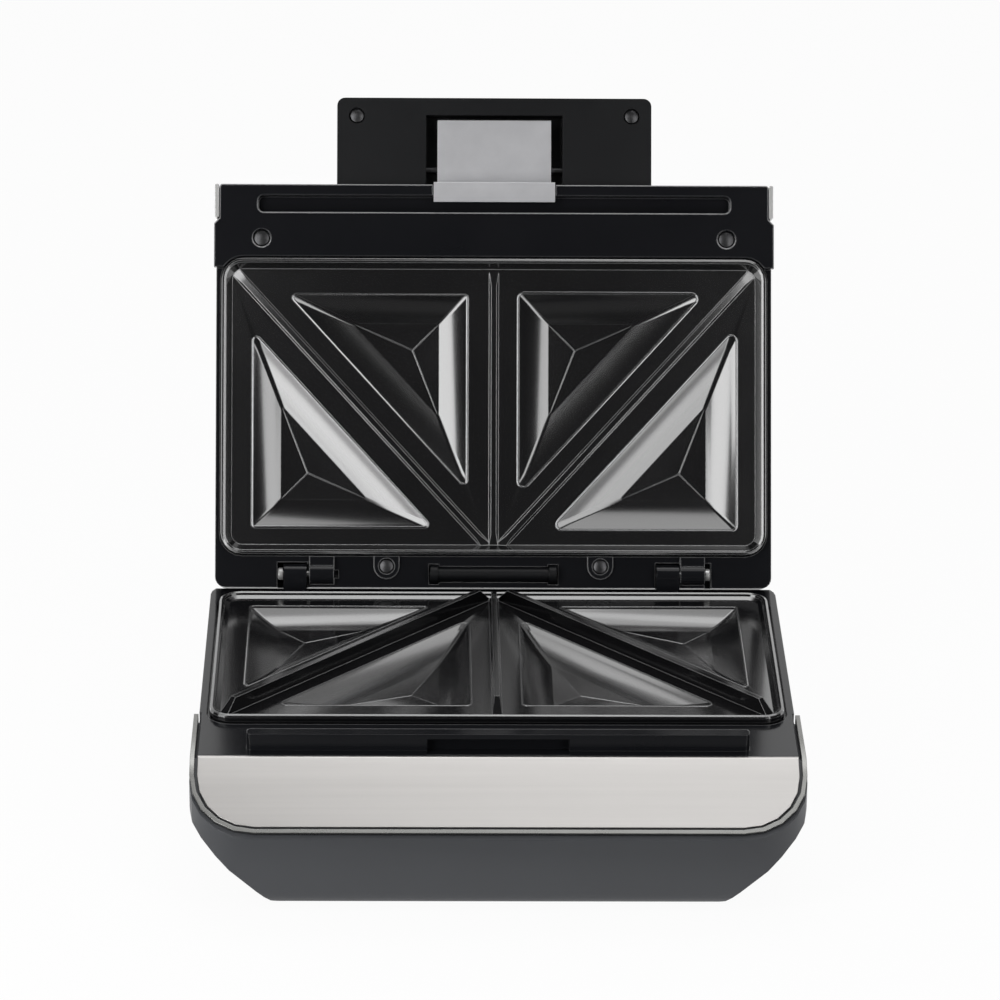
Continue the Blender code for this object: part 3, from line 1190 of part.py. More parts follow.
def lid_panel():
    """Satin steel sheet over the lid's slope and top, bent between them."""
    lift = CLEARANCE + PANEL_THICKNESS
    start = LID_SLOPE @ Vector((0, PANEL_START, lift))
    rise = LID_TOP + lift - start.z
    knee = start.y + rise / math.tan(SLOPE_ANGLE)
    back = REAR - PANEL_REAR_INSET
    centre = (knee + PANEL_BEND * math.tan(SLOPE_ANGLE / 2), LID_TOP + lift - PANEL_BEND)
    bend = arc(centre, PANEL_BEND, 90, 90 + math.degrees(SLOPE_ANGLE), SHEET_BEND_STEPS)
    path = [(back, LID_TOP + lift)] + [tuple(place) for place in bend] + [(start.y, start.z)]
    panel = bent_sheet("lid_panel", path, PANEL_HALF, PANEL_THICKNESS)
    corner = (PANEL_CORNER, PANEL_CORNER)
    outline = rounded_rectangle(-PANEL_HALF, PANEL_HALF, start.y + lift, back, corner, corner)
    keep(panel, flat_solid("panel_outline", [outline], LID_SHELL_BOTTOM, LID_TOP + 2 * OVERRUN))
    for label, x in lenses():
        cut(panel, lens_hole(f"{label}_panel_hole", x))
    return finish(panel, SATIN_STEEL)


def lamps():
    """Two lenses in the slope and the holder of their lamps behind it."""
    face = CLEARANCE + PANEL_THICKNESS + CLEARANCE
    for (label, x), colour in zip(lenses(), (RED, GREEN)):
        dome = [(LENS_RADIUS * across, face + LENS_HEIGHT * up) for across, up in LENS_DOME_SHARES]
        profile = [(0, face + LENS_HEIGHT), *dome, (LENS_RADIUS, face), (LENS_STEM_RADIUS, face),
                   (LENS_STEM_RADIUS, face - LENS_STEM_LENGTH), (0, face - LENS_STEM_LENGTH)]
        place = LID_SLOPE @ Matrix.Translation((x, LENS_ALONG, 0))
        finish(turned(label, profile, place, steps=LENS_STEPS), colour)
    wide, deep, tall = LAMP_HOLDER
    top = face - LENS_STEM_LENGTH - CLEARANCE
    low = (-wide / 2, LENS_ALONG - deep / 2, top - tall)
    finish(box("lamp_holder", low, (wide / 2, LENS_ALONG + deep / 2, top), LID_SLOPE, PARTS), CREAM)


def wire_conduit():
    """Hollow barrel with a flange at each end, on the hinge's axis, for the wires into the lid."""
    flange = CONDUIT_HALF - CONDUIT_FLANGE_LENGTH
    wide, narrow = CONDUIT_FLANGE_RADIUS, CONDUIT_RADIUS
    profile = [(wide, CONDUIT_HALF), (wide, flange), (narrow, flange), (narrow, -flange), (wide, -flange),
               (wide, -CONDUIT_HALF), (CONDUIT_BORE, -CONDUIT_HALF), (CONDUIT_BORE, CONDUIT_HALF)]
    frame = Matrix.Translation(HINGE) @ Matrix.Rotation(math.pi / 2, 4, "Y")
    finish(turned("wire_conduit", profile, frame, closed=True), GLOSS_BLACK)


def handle():
    """Two halves, split level, with the latch's recess between them and the pin's holes in the upper one."""
    half = HANDLE_WIDTH / 2
    front = LID_EDGE - HANDLE_REACH
    corner = (HANDLE_CORNER, HANDLE_CORNER)
    plan = tidy(rounded_rectangle(-half, half, front, HANDLE_REAR, (0, 0), corner))
    roof = HANDLE_FACE + RECESS_HEIGHT
    recess_front = LID_EDGE - RECESS_REACH
    lower = flat_solid("handle_lower_half", [plan], HANDLE_FACE, HANDLE_SPLIT, group=PARTS)
    floor = HANDLE_SPLIT + CLEARANCE
    top = floor + HANDLE_UPPER_THICKNESS
    slope = math.tan(SLOPE_ANGLE)
    clear = CLEARANCE / math.cos(SLOPE_ANGLE)
    wall = LID_SLOPE_START.z + clear
    seat = HANDLE_REAR + (top - wall) / slope
    side = fillet([(front, floor), (HANDLE_REAR, floor), (HANDLE_REAR, wall), (seat, top), (front, top)],
                  [0, 0, 0, 0, HANDLE_CORNER])
    upper = flat_solid("handle_upper_half", [side], -half, half, SIDE, PARTS)
    keep(upper, flat_solid("handle_plan", [tidy(rounded_rectangle(-half, half, front, 0, (0, 0), corner))],
                           HANDLE_FACE, top + OVERRUN))
    for piece in (lower, upper):
        cut(piece, box(f"{piece.name}_recess", (-RECESS_HALF, recess_front, HANDLE_FACE - OVERRUN),
                       (RECESS_HALF, HANDLE_REAR + OVERRUN, roof)))
    reach = LATCH_PIN_HALF + CLEARANCE
    cut(upper, rod("latch_pin_hole", LATCH_PIN_RADIUS + LATCH_PIN_GAP, LATCH_PIN - Vector((reach, 0, 0)),
                   LATCH_PIN + Vector((reach, 0, 0))))
    x, y = HANDLE_SCREW_PLACE
    for label, across in (("left", -x), ("right", x)):
        place = (across, LID_EDGE - y)
        head = HANDLE_FACE + SCREW_HEAD_HEIGHT + SCREW_SUNK
        below, tip = (*place, HANDLE_FACE - OVERRUN), (*place, head + HANDLE_SCREW_LENGTH + CLEARANCE)
        wide, narrow = HANDLE_SCREW_RADIUS + CLEARANCE, SCREW_SHANK_RADIUS + CLEARANCE
        cut(lower, rod(f"{label}_handle_counterbore", wide, below, (*place, head)))
        for piece in (lower, upper):
            cut(piece, rod(f"{piece.name}_{label}_screw_hole", narrow, below, tip))
        seat = (*place, head - CLEARANCE)
        screw(f"handle_screw_{label}", HANDLE_SCREW_RADIUS, HANDLE_SCREW_LENGTH, seat, -1)
    finish(lower, SATIN_BLACK)
    finish(upper, SATIN_BLACK)


def lid_fittings():
    """Heating of the lid, its screws and the latch's pin."""
    heat("upper", UPPER_RIM, UPPER_LAND, LID_FRAME_TOP, 1)
    x, y = LID_SCREW_PLACE
    for label, across in (("left", -x), ("right", x)):
        head = LID_FACE - LID_SCREW_BOSS + SCREW_HEAD_HEIGHT + SCREW_SUNK - CLEARANCE
        screw(f"hinge_strip_screw_{label}", LID_SCREW_RADIUS, SCREW_LENGTH, (across, HINGE.y - y, head), -1)
    x, y = STRIP_SCREW_PLACE
    for label, across in (("left", -x), ("right", x)):
        head = STRIP_FACE + SCREW_HEAD_HEIGHT + SCREW_SUNK - CLEARANCE
        screw(f"strip_screw_{label}", STRIP_SCREW_RADIUS, SCREW_LENGTH, (across, PLATE_FRONT - y, head), -1)
    ends = Vector((LATCH_PIN_HALF, 0, 0))
    finish(rod("latch_pin", LATCH_PIN_RADIUS, LATCH_PIN - ends, LATCH_PIN + ends, PARTS, PIN_STEPS), SILVER)


# Latch

def latch():
    """Lever with a hook along its rear edge and a lug on each side of the spring."""
    face = HANDLE_FACE + LEVER_SUNK
    top = face + LEVER_THICKNESS
    front = LID_EDGE - LEVER_REACH
    web_front = LID_EDGE - HOOK_FRONT
    rear = hook_rear()
    barb_top = RIB_Z - STRIKE_THICKNESS - CLEARANCE
    tip = RIB_Y - RIB_DEPTH / 2 + HOOK_BITE
    hook = [(web_front, barb_top - HOOK_ROOT), (rear, barb_top - HOOK_ROOT), (tip, barb_top - HOOK_TIP),
            (tip, barb_top), (rear, barb_top), (rear, top), (web_front, top)]
    radii = [HOOK_TIP / 2, 0, 0, 0, 0, 0, 0]
    piece = flat_solid("latch", [fillet(hook, radii)], -HOOK_HALF, HOOK_HALF, SIDE, PARTS)
    side = [(front, face), (web_front + HOOK_WEB / 2, face), (web_front + HOOK_WEB / 2, top), (front, top)]
    join(piece, flat_solid("lever", [fillet(side, [LEVER_THICKNESS / 3, 0, 0, LEVER_THICKNESS / 3])],
                           -LEVER_HALF, LEVER_HALF, SIDE))
    lug = arc((LATCH_PIN.y, LATCH_PIN.z), LUG_RADIUS, 0, 180) + [
        Vector((LATCH_PIN.y - LUG_RADIUS, top - LEVER_THICKNESS / 3)),
        Vector((LATCH_PIN.y + LUG_RADIUS, top - LEVER_THICKNESS / 3))]
    lugs = (("left", -LEVER_HALF, -SPRING_SLOT_HALF), ("right", SPRING_SLOT_HALF, LEVER_HALF))
    for label, left, right in lugs:
        join(piece, flat_solid(f"{label}_lug", [lug], left, right, SIDE))
    reach = Vector((HOOK_HALF, 0, 0))
    cut(piece, rod("lug_hole", LATCH_PIN_RADIUS + LATCH_PIN_GAP, LATCH_PIN - reach, LATCH_PIN + reach))
    finish(piece, SILVER)


def latch_spring():
    """Torsion spring round the latch's pin, with one leg on the lever and one under the recess's roof."""
    turns = SPRING_TURNS + 1 / 2
    points = []
    for step in range(round(turns * SPRING_STEPS) + 1):
        angle = -math.pi / 2 - 2 * math.pi * step / SPRING_STEPS
        along = SPRING_PITCH * (step / SPRING_STEPS - turns / 2)
        ahead, rise = SPRING_RADIUS * math.cos(angle), SPRING_RADIUS * math.sin(angle)
        points.append((along, LATCH_PIN.y + ahead, LATCH_PIN.z + rise))
    first, last = points[0], points[-1]
    front = (first[0], LATCH_PIN.y - SPRING_FRONT_LEG, first[2])
    rear = (last[0], LATCH_PIN.y + SPRING_REAR_LEG, last[2])
    finish(tube("latch_spring", [front] + points + [rear], SPRING_WIRE, 1), ZINC)


# Assembly

root = bpy.data.objects.new("sandwich_maker_root", None)
lid = bpy.data.objects.new("lid_hinge", None)
catch = bpy.data.objects.new("latch_pivot", None)
for empty in (root, lid, catch):
    PARTS.objects.link(empty)
lid.parent = root
lid.location = HINGE
lid.rotation_euler = (-OPEN_ANGLE, 0, 0)
catch.parent = lid
catch.location = LATCH_PIN - HINGE

lower_shell()
base_frame()
front_apron()
front_trim()
lower_plate = cooking_plate("lower_cooking_plate", LOWER_LAND, LOWER_RIB_HEIGHT)
place_plate(lower_plate, Matrix.Translation((0, 0, RIM_HEIGHT)))
base_fittings()
hang_on(root, Vector((0, 0, 0)))

lid_frame()
lid_front_strip()
lid_corner_trims()
lid_shell()
lid_panel()
lamps()
wire_conduit()
handle()
turned_over = Matrix.Translation((0, 0, UPPER_RIM)) @ Matrix.Rotation(math.pi, 4, "Y")
place_plate(cooking_plate("upper_cooking_plate", UPPER_LAND, UPPER_RIB_HEIGHT), turned_over)
lid_fittings()
hang_on(lid, HINGE)

latch()
latch_spring()
hang_on(catch, LATCH_PIN)

# The origin goes to the middle of the open appliance's footprint, on the table
bpy.context.view_layer.update()
graph = bpy.context.evaluated_depsgraph_get()
corners = []
for piece in PARTS.objects:
    if piece.type in {"MESH", "CURVE"}:
        shown = piece.evaluated_get(graph)
        mesh = shown.to_mesh()
        corners += [shown.matrix_world @ vertex.co for vertex in mesh.vertices]
        shown.to_mesh_clear()
low = Vector([min(corner[axis] for corner in corners) for axis in range(3)])
high = Vector([max(corner[axis] for corner in corners) for axis in range(3)])
root.location = -Vector(((low.x + high.x) / 2, (low.y + high.y) / 2, low.z))
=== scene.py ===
import math
import bpy
import bmesh
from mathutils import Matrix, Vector


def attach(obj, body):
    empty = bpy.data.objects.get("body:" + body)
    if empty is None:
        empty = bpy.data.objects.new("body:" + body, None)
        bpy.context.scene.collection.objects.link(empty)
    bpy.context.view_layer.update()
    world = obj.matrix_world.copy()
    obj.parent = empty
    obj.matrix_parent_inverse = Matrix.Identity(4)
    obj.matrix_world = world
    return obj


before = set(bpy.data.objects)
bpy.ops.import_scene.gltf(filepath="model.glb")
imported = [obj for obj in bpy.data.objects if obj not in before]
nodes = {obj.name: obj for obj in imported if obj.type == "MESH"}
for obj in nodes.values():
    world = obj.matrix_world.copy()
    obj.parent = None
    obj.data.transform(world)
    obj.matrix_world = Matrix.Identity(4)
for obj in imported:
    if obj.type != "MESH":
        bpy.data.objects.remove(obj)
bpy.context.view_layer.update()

print("frame loaded,", len(nodes), "pieces")


class Wire:  # a socket on which +, - and * add Math nodes
    def __init__(self, tree, socket=None):
        self.tree = tree
        self.socket = socket

    def node(self, kind, settings=None, sockets=None, out=0):  # a socket takes a value or a wire
        made = self.tree.nodes.new("ShaderNode" + kind)
        for name, value in (settings or {}).items():
            setattr(made, name, value)
        for name, value in (sockets or {}).items():
            if isinstance(value, Wire):
                self.tree.links.new(value.socket, made.inputs[name])
            else:
                made.inputs[name].default_value = value
        return Wire(self.tree, made.outputs[out] if len(made.outputs) else None)

    def maths(self, operation, first, second):
        return self.node("Math", {"operation": operation}, {0: first, 1: second})

    def __add__(self, other):
        return self.maths("ADD", self, other)

    __radd__ = __add__

    def __sub__(self, other):
        return self.maths("SUBTRACT", self, other)

    def __rsub__(self, other):
        return self.maths("SUBTRACT", other, self)

    def __mul__(self, other):
        return self.maths("MULTIPLY", self, other)

    __rmul__ = __mul__

    def clamped(self):
        return self.node("Clamp", None, {"Value": self})


def rgba(colour):
    return (*colour, 1.0)


def blank(material):  # an empty node tree to build on
    material.use_nodes = True
    material.node_tree.nodes.clear()
    return Wire(material.node_tree)


def mixed(start, mask, first, second):  # a colour between two; 6, 7 and 2 are the colour sockets
    return start.node("Mix", {"data_type": "RGBA"}, {0: mask, 6: first, 7: second}, out=2)


def dotted(start, first, second):
    sockets = {0: first, 1: second}
    return start.node("VectorMath", {"operation": "DOT_PRODUCT"}, sockets, out="Value")


def eased(start, value, span, heights=(0.0, 1.0)):  # runs smoothly from one height to the other
    return start.node("MapRange", {"interpolation_type": "SMOOTHSTEP"}, {
        "Value": value, "From Min": span[0], "From Max": span[1],
        "To Min": heights[0], "To Max": heights[1],
    })


shared = {  # what all the finishes have in common
    "cloudDetail": 3.0, "cloudRough": 0.5,  # the noise of the slow change from dark to light
    "fineDetail": 2.0, "fineRough": 0.6,  # the noise of the fine grain
    "middle": 0.5,  # the noise's own average
    "contrast": 1.6, "darkShare": 0.3,  # how sharply the dark parts from the light
    "bevelSamples": 6,
    "towardGain": 1.6,  # how soon the light edge comes in on its side
}
unlessSaid = {"stretch": (1, 1, 1), "ior": 1.5, "coat": 0.0, "coatRoughness": 0.1, "edgeGain": 6.0}


def grain(start, size, stretch, detail, rough):  # noise from 0 to 1, its grain in metres
    place = start.node("TexCoord", out="Object")
    scale = tuple(along / size for along in stretch)
    scaled = start.node("Mapping", None, {"Vector": place, "Scale": scale})
    return start.node("TexNoise", None, {
        "Vector": scaled, "Scale": 1.0, "Detail": detail, "Roughness": rough,
    })


def rounded(start, radius):  # the normal as if the edges were rounded
    return start.node("Bevel", {"samples": shared["bevelSamples"]}, {"Radius": radius})


def paintedEdgeHighlight(start, colour, soft, look):  # painted highlight: lightens the edges, where the rounded normal turns away
    surface = start.node("NewGeometry", out="Normal")
    if "edgeReach" in look:  # a wider band than the rounding itself
        soft = rounded(start, look["edgeReach"])
    agree = dotted(start, soft, surface)
    mask = ((1 - agree) * look["edgeGain"]).clamped()
    if "edgeToward" in look:  # only the edges on one side of the piece catch the light
        turning = {"vector_type": "NORMAL", "convert_from": "WORLD", "convert_to": "OBJECT"}
        own = start.node("VectorTransform", turning, {"Vector": soft})
        facing = dotted(start, own, look["edgeToward"]) * shared["towardGain"]
        mask = mask * facing.clamped()
    return mixed(start, mask, colour, rgba(look["edgeHighlight"]))


def finished(name, look):
    look = {**unlessSaid, "edgeHighlight": look["light"], **look}
    material = bpy.data.materials.new(name)
    start = blank(material)
    stretch, change = look["stretch"], look["roughChange"]
    cloud = grain(start, look["cloudSize"], stretch, shared["cloudDetail"], shared["cloudRough"])
    fine = grain(start, look["grainSize"], stretch, shared["fineDetail"], shared["fineRough"])
    worn = (cloud * shared["contrast"] - shared["darkShare"]).clamped()
    colour = mixed(start, worn, rgba(look["dark"]), rgba(look["light"]))
    roughness = look["roughness"] + (cloud - shared["middle"]) * change
    roughness = roughness + (fine - shared["middle"]) * change
    soft = rounded(start, look["edge"])
    # painted highlight along the edges
    colour = paintedEdgeHighlight(start, colour, soft, look)
    relief = start.node("Bump", None, {
        "Strength": look["relief"], "Distance": look["reliefDepth"], "Height": fine, "Normal": soft,
    })
    body = start.node("BsdfPrincipled", None, {
        "Base Color": colour,
        "Metallic": look["metallic"],
        "Roughness": roughness.clamped(),
        "IOR": look["ior"],
        "Coat Weight": look["coat"],
        "Coat Roughness": look["coatRoughness"],
        "Normal": relief,
    })
    start.node("OutputMaterial", None, {"Surface": body})
    return material


# all lengths are in metres; dark and light are the two ends of a finish's colour, and the edge
# colour is a painted highlight along the edges
looks = {
    "nonstickBlack": {
        "dark": (0.003, 0.003, 0.0036), "light": (0.0055, 0.0055, 0.0062), "metallic": 0.0,
        "roughness": 0.16, "roughChange": 0.04, "ior": 2.3, "coat": 1.0, "coatRoughness": 0.1,
        "cloudSize": 0.03, "grainSize": 0.0008,
        "relief": 0.06, "reliefDepth": 0.00003, "edge": 0.0005,
        "edgeHighlight": (0.42, 0.42, 0.425), "edgeGain": 12.0,
    },
    "paintedBeadHighlight": {  # painted highlight: lighter than the plate, so that the raised creases and the lower lips show as bright lines
        "dark": (0.05, 0.05, 0.052), "light": (0.09, 0.09, 0.092), "metallic": 0.0,
        "roughness": 0.2, "roughChange": 0.04, "ior": 2.3, "coat": 1.0, "coatRoughness": 0.12,
        "cloudSize": 0.01, "grainSize": 0.0006,
        "relief": 0.05, "reliefDepth": 0.00002, "edge": 0.0002,
    },
    "paintedLipHighlight": {  # painted highlight: bright metal round the mouths of the upper pockets
        "dark": (0.4, 0.4, 0.405), "light": (0.55, 0.55, 0.555), "metallic": 1.0,
        "roughness": 0.2, "roughChange": 0.06, "ior": 1.8,
        "cloudSize": 0.02, "grainSize": 0.0006,
        "relief": 0.05, "reliefDepth": 0.00002, "edge": 0.0001,
    },
    "glossBlack": {
        "dark": (0.009, 0.0095, 0.0115), "light": (0.0115, 0.012, 0.014), "metallic": 0.0,
        "roughness": 0.14, "roughChange": 0.04, "ior": 1.42,
        "cloudSize": 0.04, "grainSize": 0.0012,
        "relief": 0.05, "reliefDepth": 0.00003, "edge": 0.0006,
        "edgeHighlight": (0.35, 0.35, 0.355), "edgeGain": 6.0,
    },
    "satinBlack": {
        "dark": (0.0035, 0.0038, 0.005), "light": (0.0055, 0.006, 0.0072), "metallic": 0.0,
        "roughness": 0.42, "roughChange": 0.08, "ior": 1.4,
        "cloudSize": 0.03, "grainSize": 0.0005,
        "relief": 0.2, "reliefDepth": 0.00005, "edge": 0.0005,
    },
    "shellGrey": {
        "dark": (0.053, 0.0555, 0.062), "light": (0.061, 0.0645, 0.0715), "metallic": 0.0,
        "roughness": 0.46, "roughChange": 0.08, "ior": 1.5,
        "cloudSize": 0.04, "grainSize": 0.0005,
        "relief": 0.25, "reliefDepth": 0.00006, "edge": 0.0006,
    },
    "satinSteel": {
        "dark": (0.5, 0.487, 0.474), "light": (0.57, 0.555, 0.541), "metallic": 1.0,
        "roughness": 0.34, "roughChange": 0.12, "stretch": (0.02, 1, 1),
        "cloudSize": 0.004, "grainSize": 0.0003,
        "relief": 0.08, "reliefDepth": 0.00002, "edge": 0.0004,
    },
    "silverTrim": {
        "dark": (0.24, 0.24, 0.232), "light": (0.3, 0.3, 0.29), "metallic": 1.0,
        "roughness": 0.28, "roughChange": 0.06,
        "cloudSize": 0.02, "grainSize": 0.0006,
        "relief": 0.05, "reliefDepth": 0.00002, "edge": 0.0004,
    },
    "brightTrim": {
        "dark": (0.75, 0.75, 0.74), "light": (0.85, 0.85, 0.84), "metallic": 0.6,
        "roughness": 0.25, "roughChange": 0.06,
        "cloudSize": 0.02, "grainSize": 0.0006,
        "relief": 0.05, "reliefDepth": 0.00002, "edge": 0.0004,
    },
    "latchSilver": {
        "dark": (0.62, 0.62, 0.64), "light": (0.7, 0.7, 0.72), "metallic": 0.3,
        "edgeHighlight": (0.95, 0.95, 0.96), "edgeGain": 5.0,
        "roughness": 0.38, "roughChange": 0.06,
        "cloudSize": 0.01, "grainSize": 0.0004,
        "relief": 0.12, "reliefDepth": 0.00003, "edge": 0.0004,
    },
    "screwSteel": {
        "dark": (0.06, 0.06, 0.063), "light": (0.12, 0.12, 0.123), "metallic": 1.0,
        "roughness": 0.36, "roughChange": 0.1,
        "cloudSize": 0.002, "grainSize": 0.0003,
        "relief": 0.1, "reliefDepth": 0.00002, "edge": 0.0003,
    },
    "trayAluminium": {
        "dark": (0.6, 0.6, 0.61), "light": (0.72, 0.72, 0.73), "metallic": 1.0,
        "roughness": 0.4, "roughChange": 0.1,
        "cloudSize": 0.02, "grainSize": 0.0008,
        "relief": 0.1, "reliefDepth": 0.00003, "edge": 0.0003,
    },
    "heaterSteel": {
        "dark": (0.1, 0.09, 0.085), "light": (0.2, 0.19, 0.18), "metallic": 0.9,
        "roughness": 0.5, "roughChange": 0.15,
        "cloudSize": 0.012, "grainSize": 0.0006,
        "relief": 0.2, "reliefDepth": 0.00004, "edge": 0.0003,
    },
    "footRubber": {
        "dark": (0.014, 0.014, 0.014), "light": (0.024, 0.024, 0.024), "metallic": 0.0,
        "roughness": 0.75, "roughChange": 0.1,
        "cloudSize": 0.006, "grainSize": 0.0004,
        "relief": 0.3, "reliefDepth": 0.00006, "edge": 0.0005,
    },
    "redLens": {
        "dark": (0.45, 0.012, 0.008), "light": (0.6, 0.02, 0.01), "metallic": 0.0,
        "roughness": 0.12, "roughChange": 0.03, "coat": 0.5,
        "cloudSize": 0.004, "grainSize": 0.001,
        "relief": 0.05, "reliefDepth": 0.00002, "edge": 0.0004,
    },
    "greenLens": {
        "dark": (0.01, 0.32, 0.035), "light": (0.02, 0.45, 0.05), "metallic": 0.0,
        "roughness": 0.12, "roughChange": 0.03, "coat": 0.5,
        "cloudSize": 0.004, "grainSize": 0.001,
        "relief": 0.05, "reliefDepth": 0.00002, "edge": 0.0004,
    },
    "creamPlastic": {
        "dark": (0.62, 0.57, 0.48), "light": (0.72, 0.67, 0.57), "metallic": 0.0,
        "roughness": 0.5, "roughChange": 0.08,
        "cloudSize": 0.008, "grainSize": 0.0005,
        "relief": 0.1, "reliefDepth": 0.00004, "edge": 0.0004,
    },
}
looks["nonstickLower"] = {
    **looks["nonstickBlack"], "ior": 1.95, "edgeHighlight": (0.25, 0.25, 0.255), "edgeGain": 5.0,
}
looks["lidSteel"] = {
    **looks["satinSteel"], "dark": (0.29, 0.283, 0.276), "light": (0.34, 0.332, 0.324),
}
# painted highlight, wider, only on the base frame's edges that face the back
looks["deckBlack"] = {
    **looks["glossBlack"], "edgeReach": 0.0014, "edgeHighlight": (0.22, 0.22, 0.225), "edgeGain": 10.0,
    "edgeToward": (0, 1.2, 0),
}
# painted highlight, wider and brighter, only on the strip's edges that face up
looks["stripBlack"] = {
    **looks["glossBlack"], "edgeReach": 0.001, "edgeHighlight": (0.6, 0.6, 0.61), "edgeGain": 14.0,
    "edgeToward": (0, 0, 1),
}
finishes = {name: finished(name, look) for name, look in looks.items()}
print("finishes made")


# the pieces that wear each finish
wears = {
    "nonstickBlack": ["upper_cooking_plate"],
    "nonstickLower": ["lower_cooking_plate"],
    "deckBlack": ["base_frame"],
    "stripBlack": ["lid_front_strip"],
    "glossBlack": ["lid_frame"],
    "satinBlack": [
        "lid_shell", "handle_lower_half", "handle_upper_half", "wire_conduit", "cord_gland",
    ],
    "shellGrey": ["lower_shell"],
    "satinSteel": ["front_apron"],
    "lidSteel": ["lid_panel"],
    "silverTrim": ["front_trim"],
    "brightTrim": [
        "lid_corner_trim_left", "lid_corner_trim_right", "left_hinge_pin", "right_hinge_pin",
    ],
    "latchSilver": ["latch"],
    "screwSteel": [
        "deck_screw_left", "deck_screw_right", "handle_screw_left", "handle_screw_right",
        "strip_screw_left", "strip_screw_right", "hinge_strip_screw_left",
        "hinge_strip_screw_right", "latch_pin", "latch_spring",
    ],
    "trayAluminium": [
        "lower_reflector", "lower_element_clamp_front", "lower_element_clamp_rear",
        "upper_reflector", "upper_element_clamp_front", "upper_element_clamp_rear", "thermostat",
    ],
    "heaterSteel": ["lower_heating_element", "upper_heating_element"],
    "footRubber": ["foot_front_left", "foot_front_right", "foot_rear_left", "foot_rear_right"],
    "redLens": ["power_lens"],
    "greenLens": ["ready_lens"],
    "creamPlastic": ["thermal_fuse", "terminal_block", "lamp_holder"],
}


pocket = {"facets": 12, "leastLean": 1.5, "mostLean": 9.0}  # how its deepest point is known
shading = {
    "weld": 0.000002,
    "digits": 5,  # of a metre, to which corners that lie together agree
    "crease": 32,  # degrees
    "fineCrease": 15,  # so that the ribs' ramps don't shade the flat land
    "fineOn": ("nonstickBlack", "nonstickLower"),
}


def welded(mesh):  # a working copy of a mesh with the corners that lie together joined
    shape = bmesh.new()
    shape.from_mesh(mesh)
    bmesh.ops.remove_doubles(shape, verts=shape.verts, dist=shading["weld"])
    shape.normal_update()
    return shape


def pocketTips(shape):  # the deepest points of the bread pockets, where many shallow facets meet
    for vert in shape.verts:
        if len(vert.link_faces) < pocket["facets"]:
            continue
        spokes = [edge.other_vert(vert).co - vert.co for edge in vert.link_edges]
        if any(spoke.dot(vert.normal) < 0 for spoke in spokes):
            continue  # the same point on the back of the plate
        lean = max(face.normal.angle(vert.normal, 0) for face in vert.link_faces)
        if pocket["leastLean"] < math.degrees(lean) < pocket["mostLean"]:
            yield vert


def placeOf(corner):
    return tuple(round(along, shading["digits"]) for along in corner.co)


def smoothed(piece, creaseAngle):  # shades curved faces smooth and leaves the creases sharp
    mesh = piece.data
    shape = welded(mesh)
    sharp = {
        edge for edge in shape.edges
        if len(edge.link_faces) != 2 or edge.calc_face_angle(0) > creaseAngle
    }
    for tip in pocketTips(shape):  # the rim of the shallow bulge round it
        for face in tip.link_faces:
            sharp.update(edge for edge in face.edges if tip not in edge.verts)
    creases = {frozenset(placeOf(corner) for corner in edge.verts) for edge in sharp}
    shape.free()
    for name in ("custom_normal", "sharp_face"):
        if name in mesh.attributes:
            mesh.attributes.remove(mesh.attributes[name])
    places = [placeOf(corner) for corner in mesh.vertices]
    for edge in mesh.edges:
        edge.use_edge_sharp = frozenset(places[i] for i in edge.vertices) in creases
    weld = piece.modifiers.new("weld", "WELD")
    weld.merge_threshold = shading["weld"]


for name, worn in wears.items():
    degrees = shading["fineCrease" if name in shading["fineOn"] else "crease"]
    for node in worn:
        nodes[node].data.materials.clear()
        nodes[node].data.materials.append(finishes[name])
        smoothed(nodes[node], math.radians(degrees))
print("pieces dressed")


def addRing(shape, centre, side, up, bead, slim=1.0):  # a half-round back, its foot in the plate
    half = side * bead["width"] / 2 * slim
    ring = []
    for turn in range(bead["sides"] + 1):
        angle = math.pi * turn / bead["sides"]
        ring.append(centre + half * math.cos(angle) + up * math.sin(angle) * bead["rise"] * slim)
    foot = up * bead["sink"]
    ring += [centre - half - foot, centre + half - foot]
    return [shape.verts.new(place) for place in ring]


def joinRings(shape, rings, following):
    for first, second in zip(rings, following):
        for i in range(len(first)):
            j = (i + 1) % len(first)
            shape.faces.new((first[i], first[j], second[j], second[i]))


def layBead(shape, name, body, bead, look):  # makes it a piece that moves with its plate
    bmesh.ops.recalc_face_normals(shape, faces=shape.faces)
    mesh = bpy.data.meshes.new(name)
    shape.to_mesh(mesh)
    shape.free()
    mesh.shade_smooth()
    mesh.set_sharp_from_angle(angle=math.radians(bead["sharp"]))
    mesh.materials.append(finishes[look])
    piece = bpy.data.objects.new(name, mesh)
    bpy.context.scene.collection.objects.link(piece)
    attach(piece, body)
    print(name, "has", len(mesh.polygons), "faces")


ridge = {  # the raised creases in the pockets
    "width": 0.0009, "rise": 0.00022, "sink": 0.0002, "sides": 6, "sharp": 50,
    "steps": 8, "taper": 4, "slimmest": 0.02,  # it slims to the root of this at its outer end
    "perPocket": 3,
}


def creaseEnds(tip):  # the corners that the creases run to from a pocket's deepest point
    flat = tip.normal.orthogonal().normalized()
    across = tip.normal.cross(flat)
    ends = [edge.other_vert(tip).co for edge in tip.link_edges]
    ends.sort(key=lambda end: math.atan2((end - tip.co).dot(across), (end - tip.co).dot(flat)))
    turns = [(ends[i] - tip.co).angle(ends[i - 1] - tip.co) for i in range(len(ends))]
    widest = sorted(range(len(ends)), key=lambda i: -turns[i])[:ridge["perPocket"]]
    starts = sorted(widest)  # these part the ends into fans, one for each corner of the pocket
    for start, stop in zip(starts, starts[1:] + [starts[0] + len(ends)]):
        middle = ((start + stop - 1) // 2) % len(ends)
        yield ends[middle].copy()


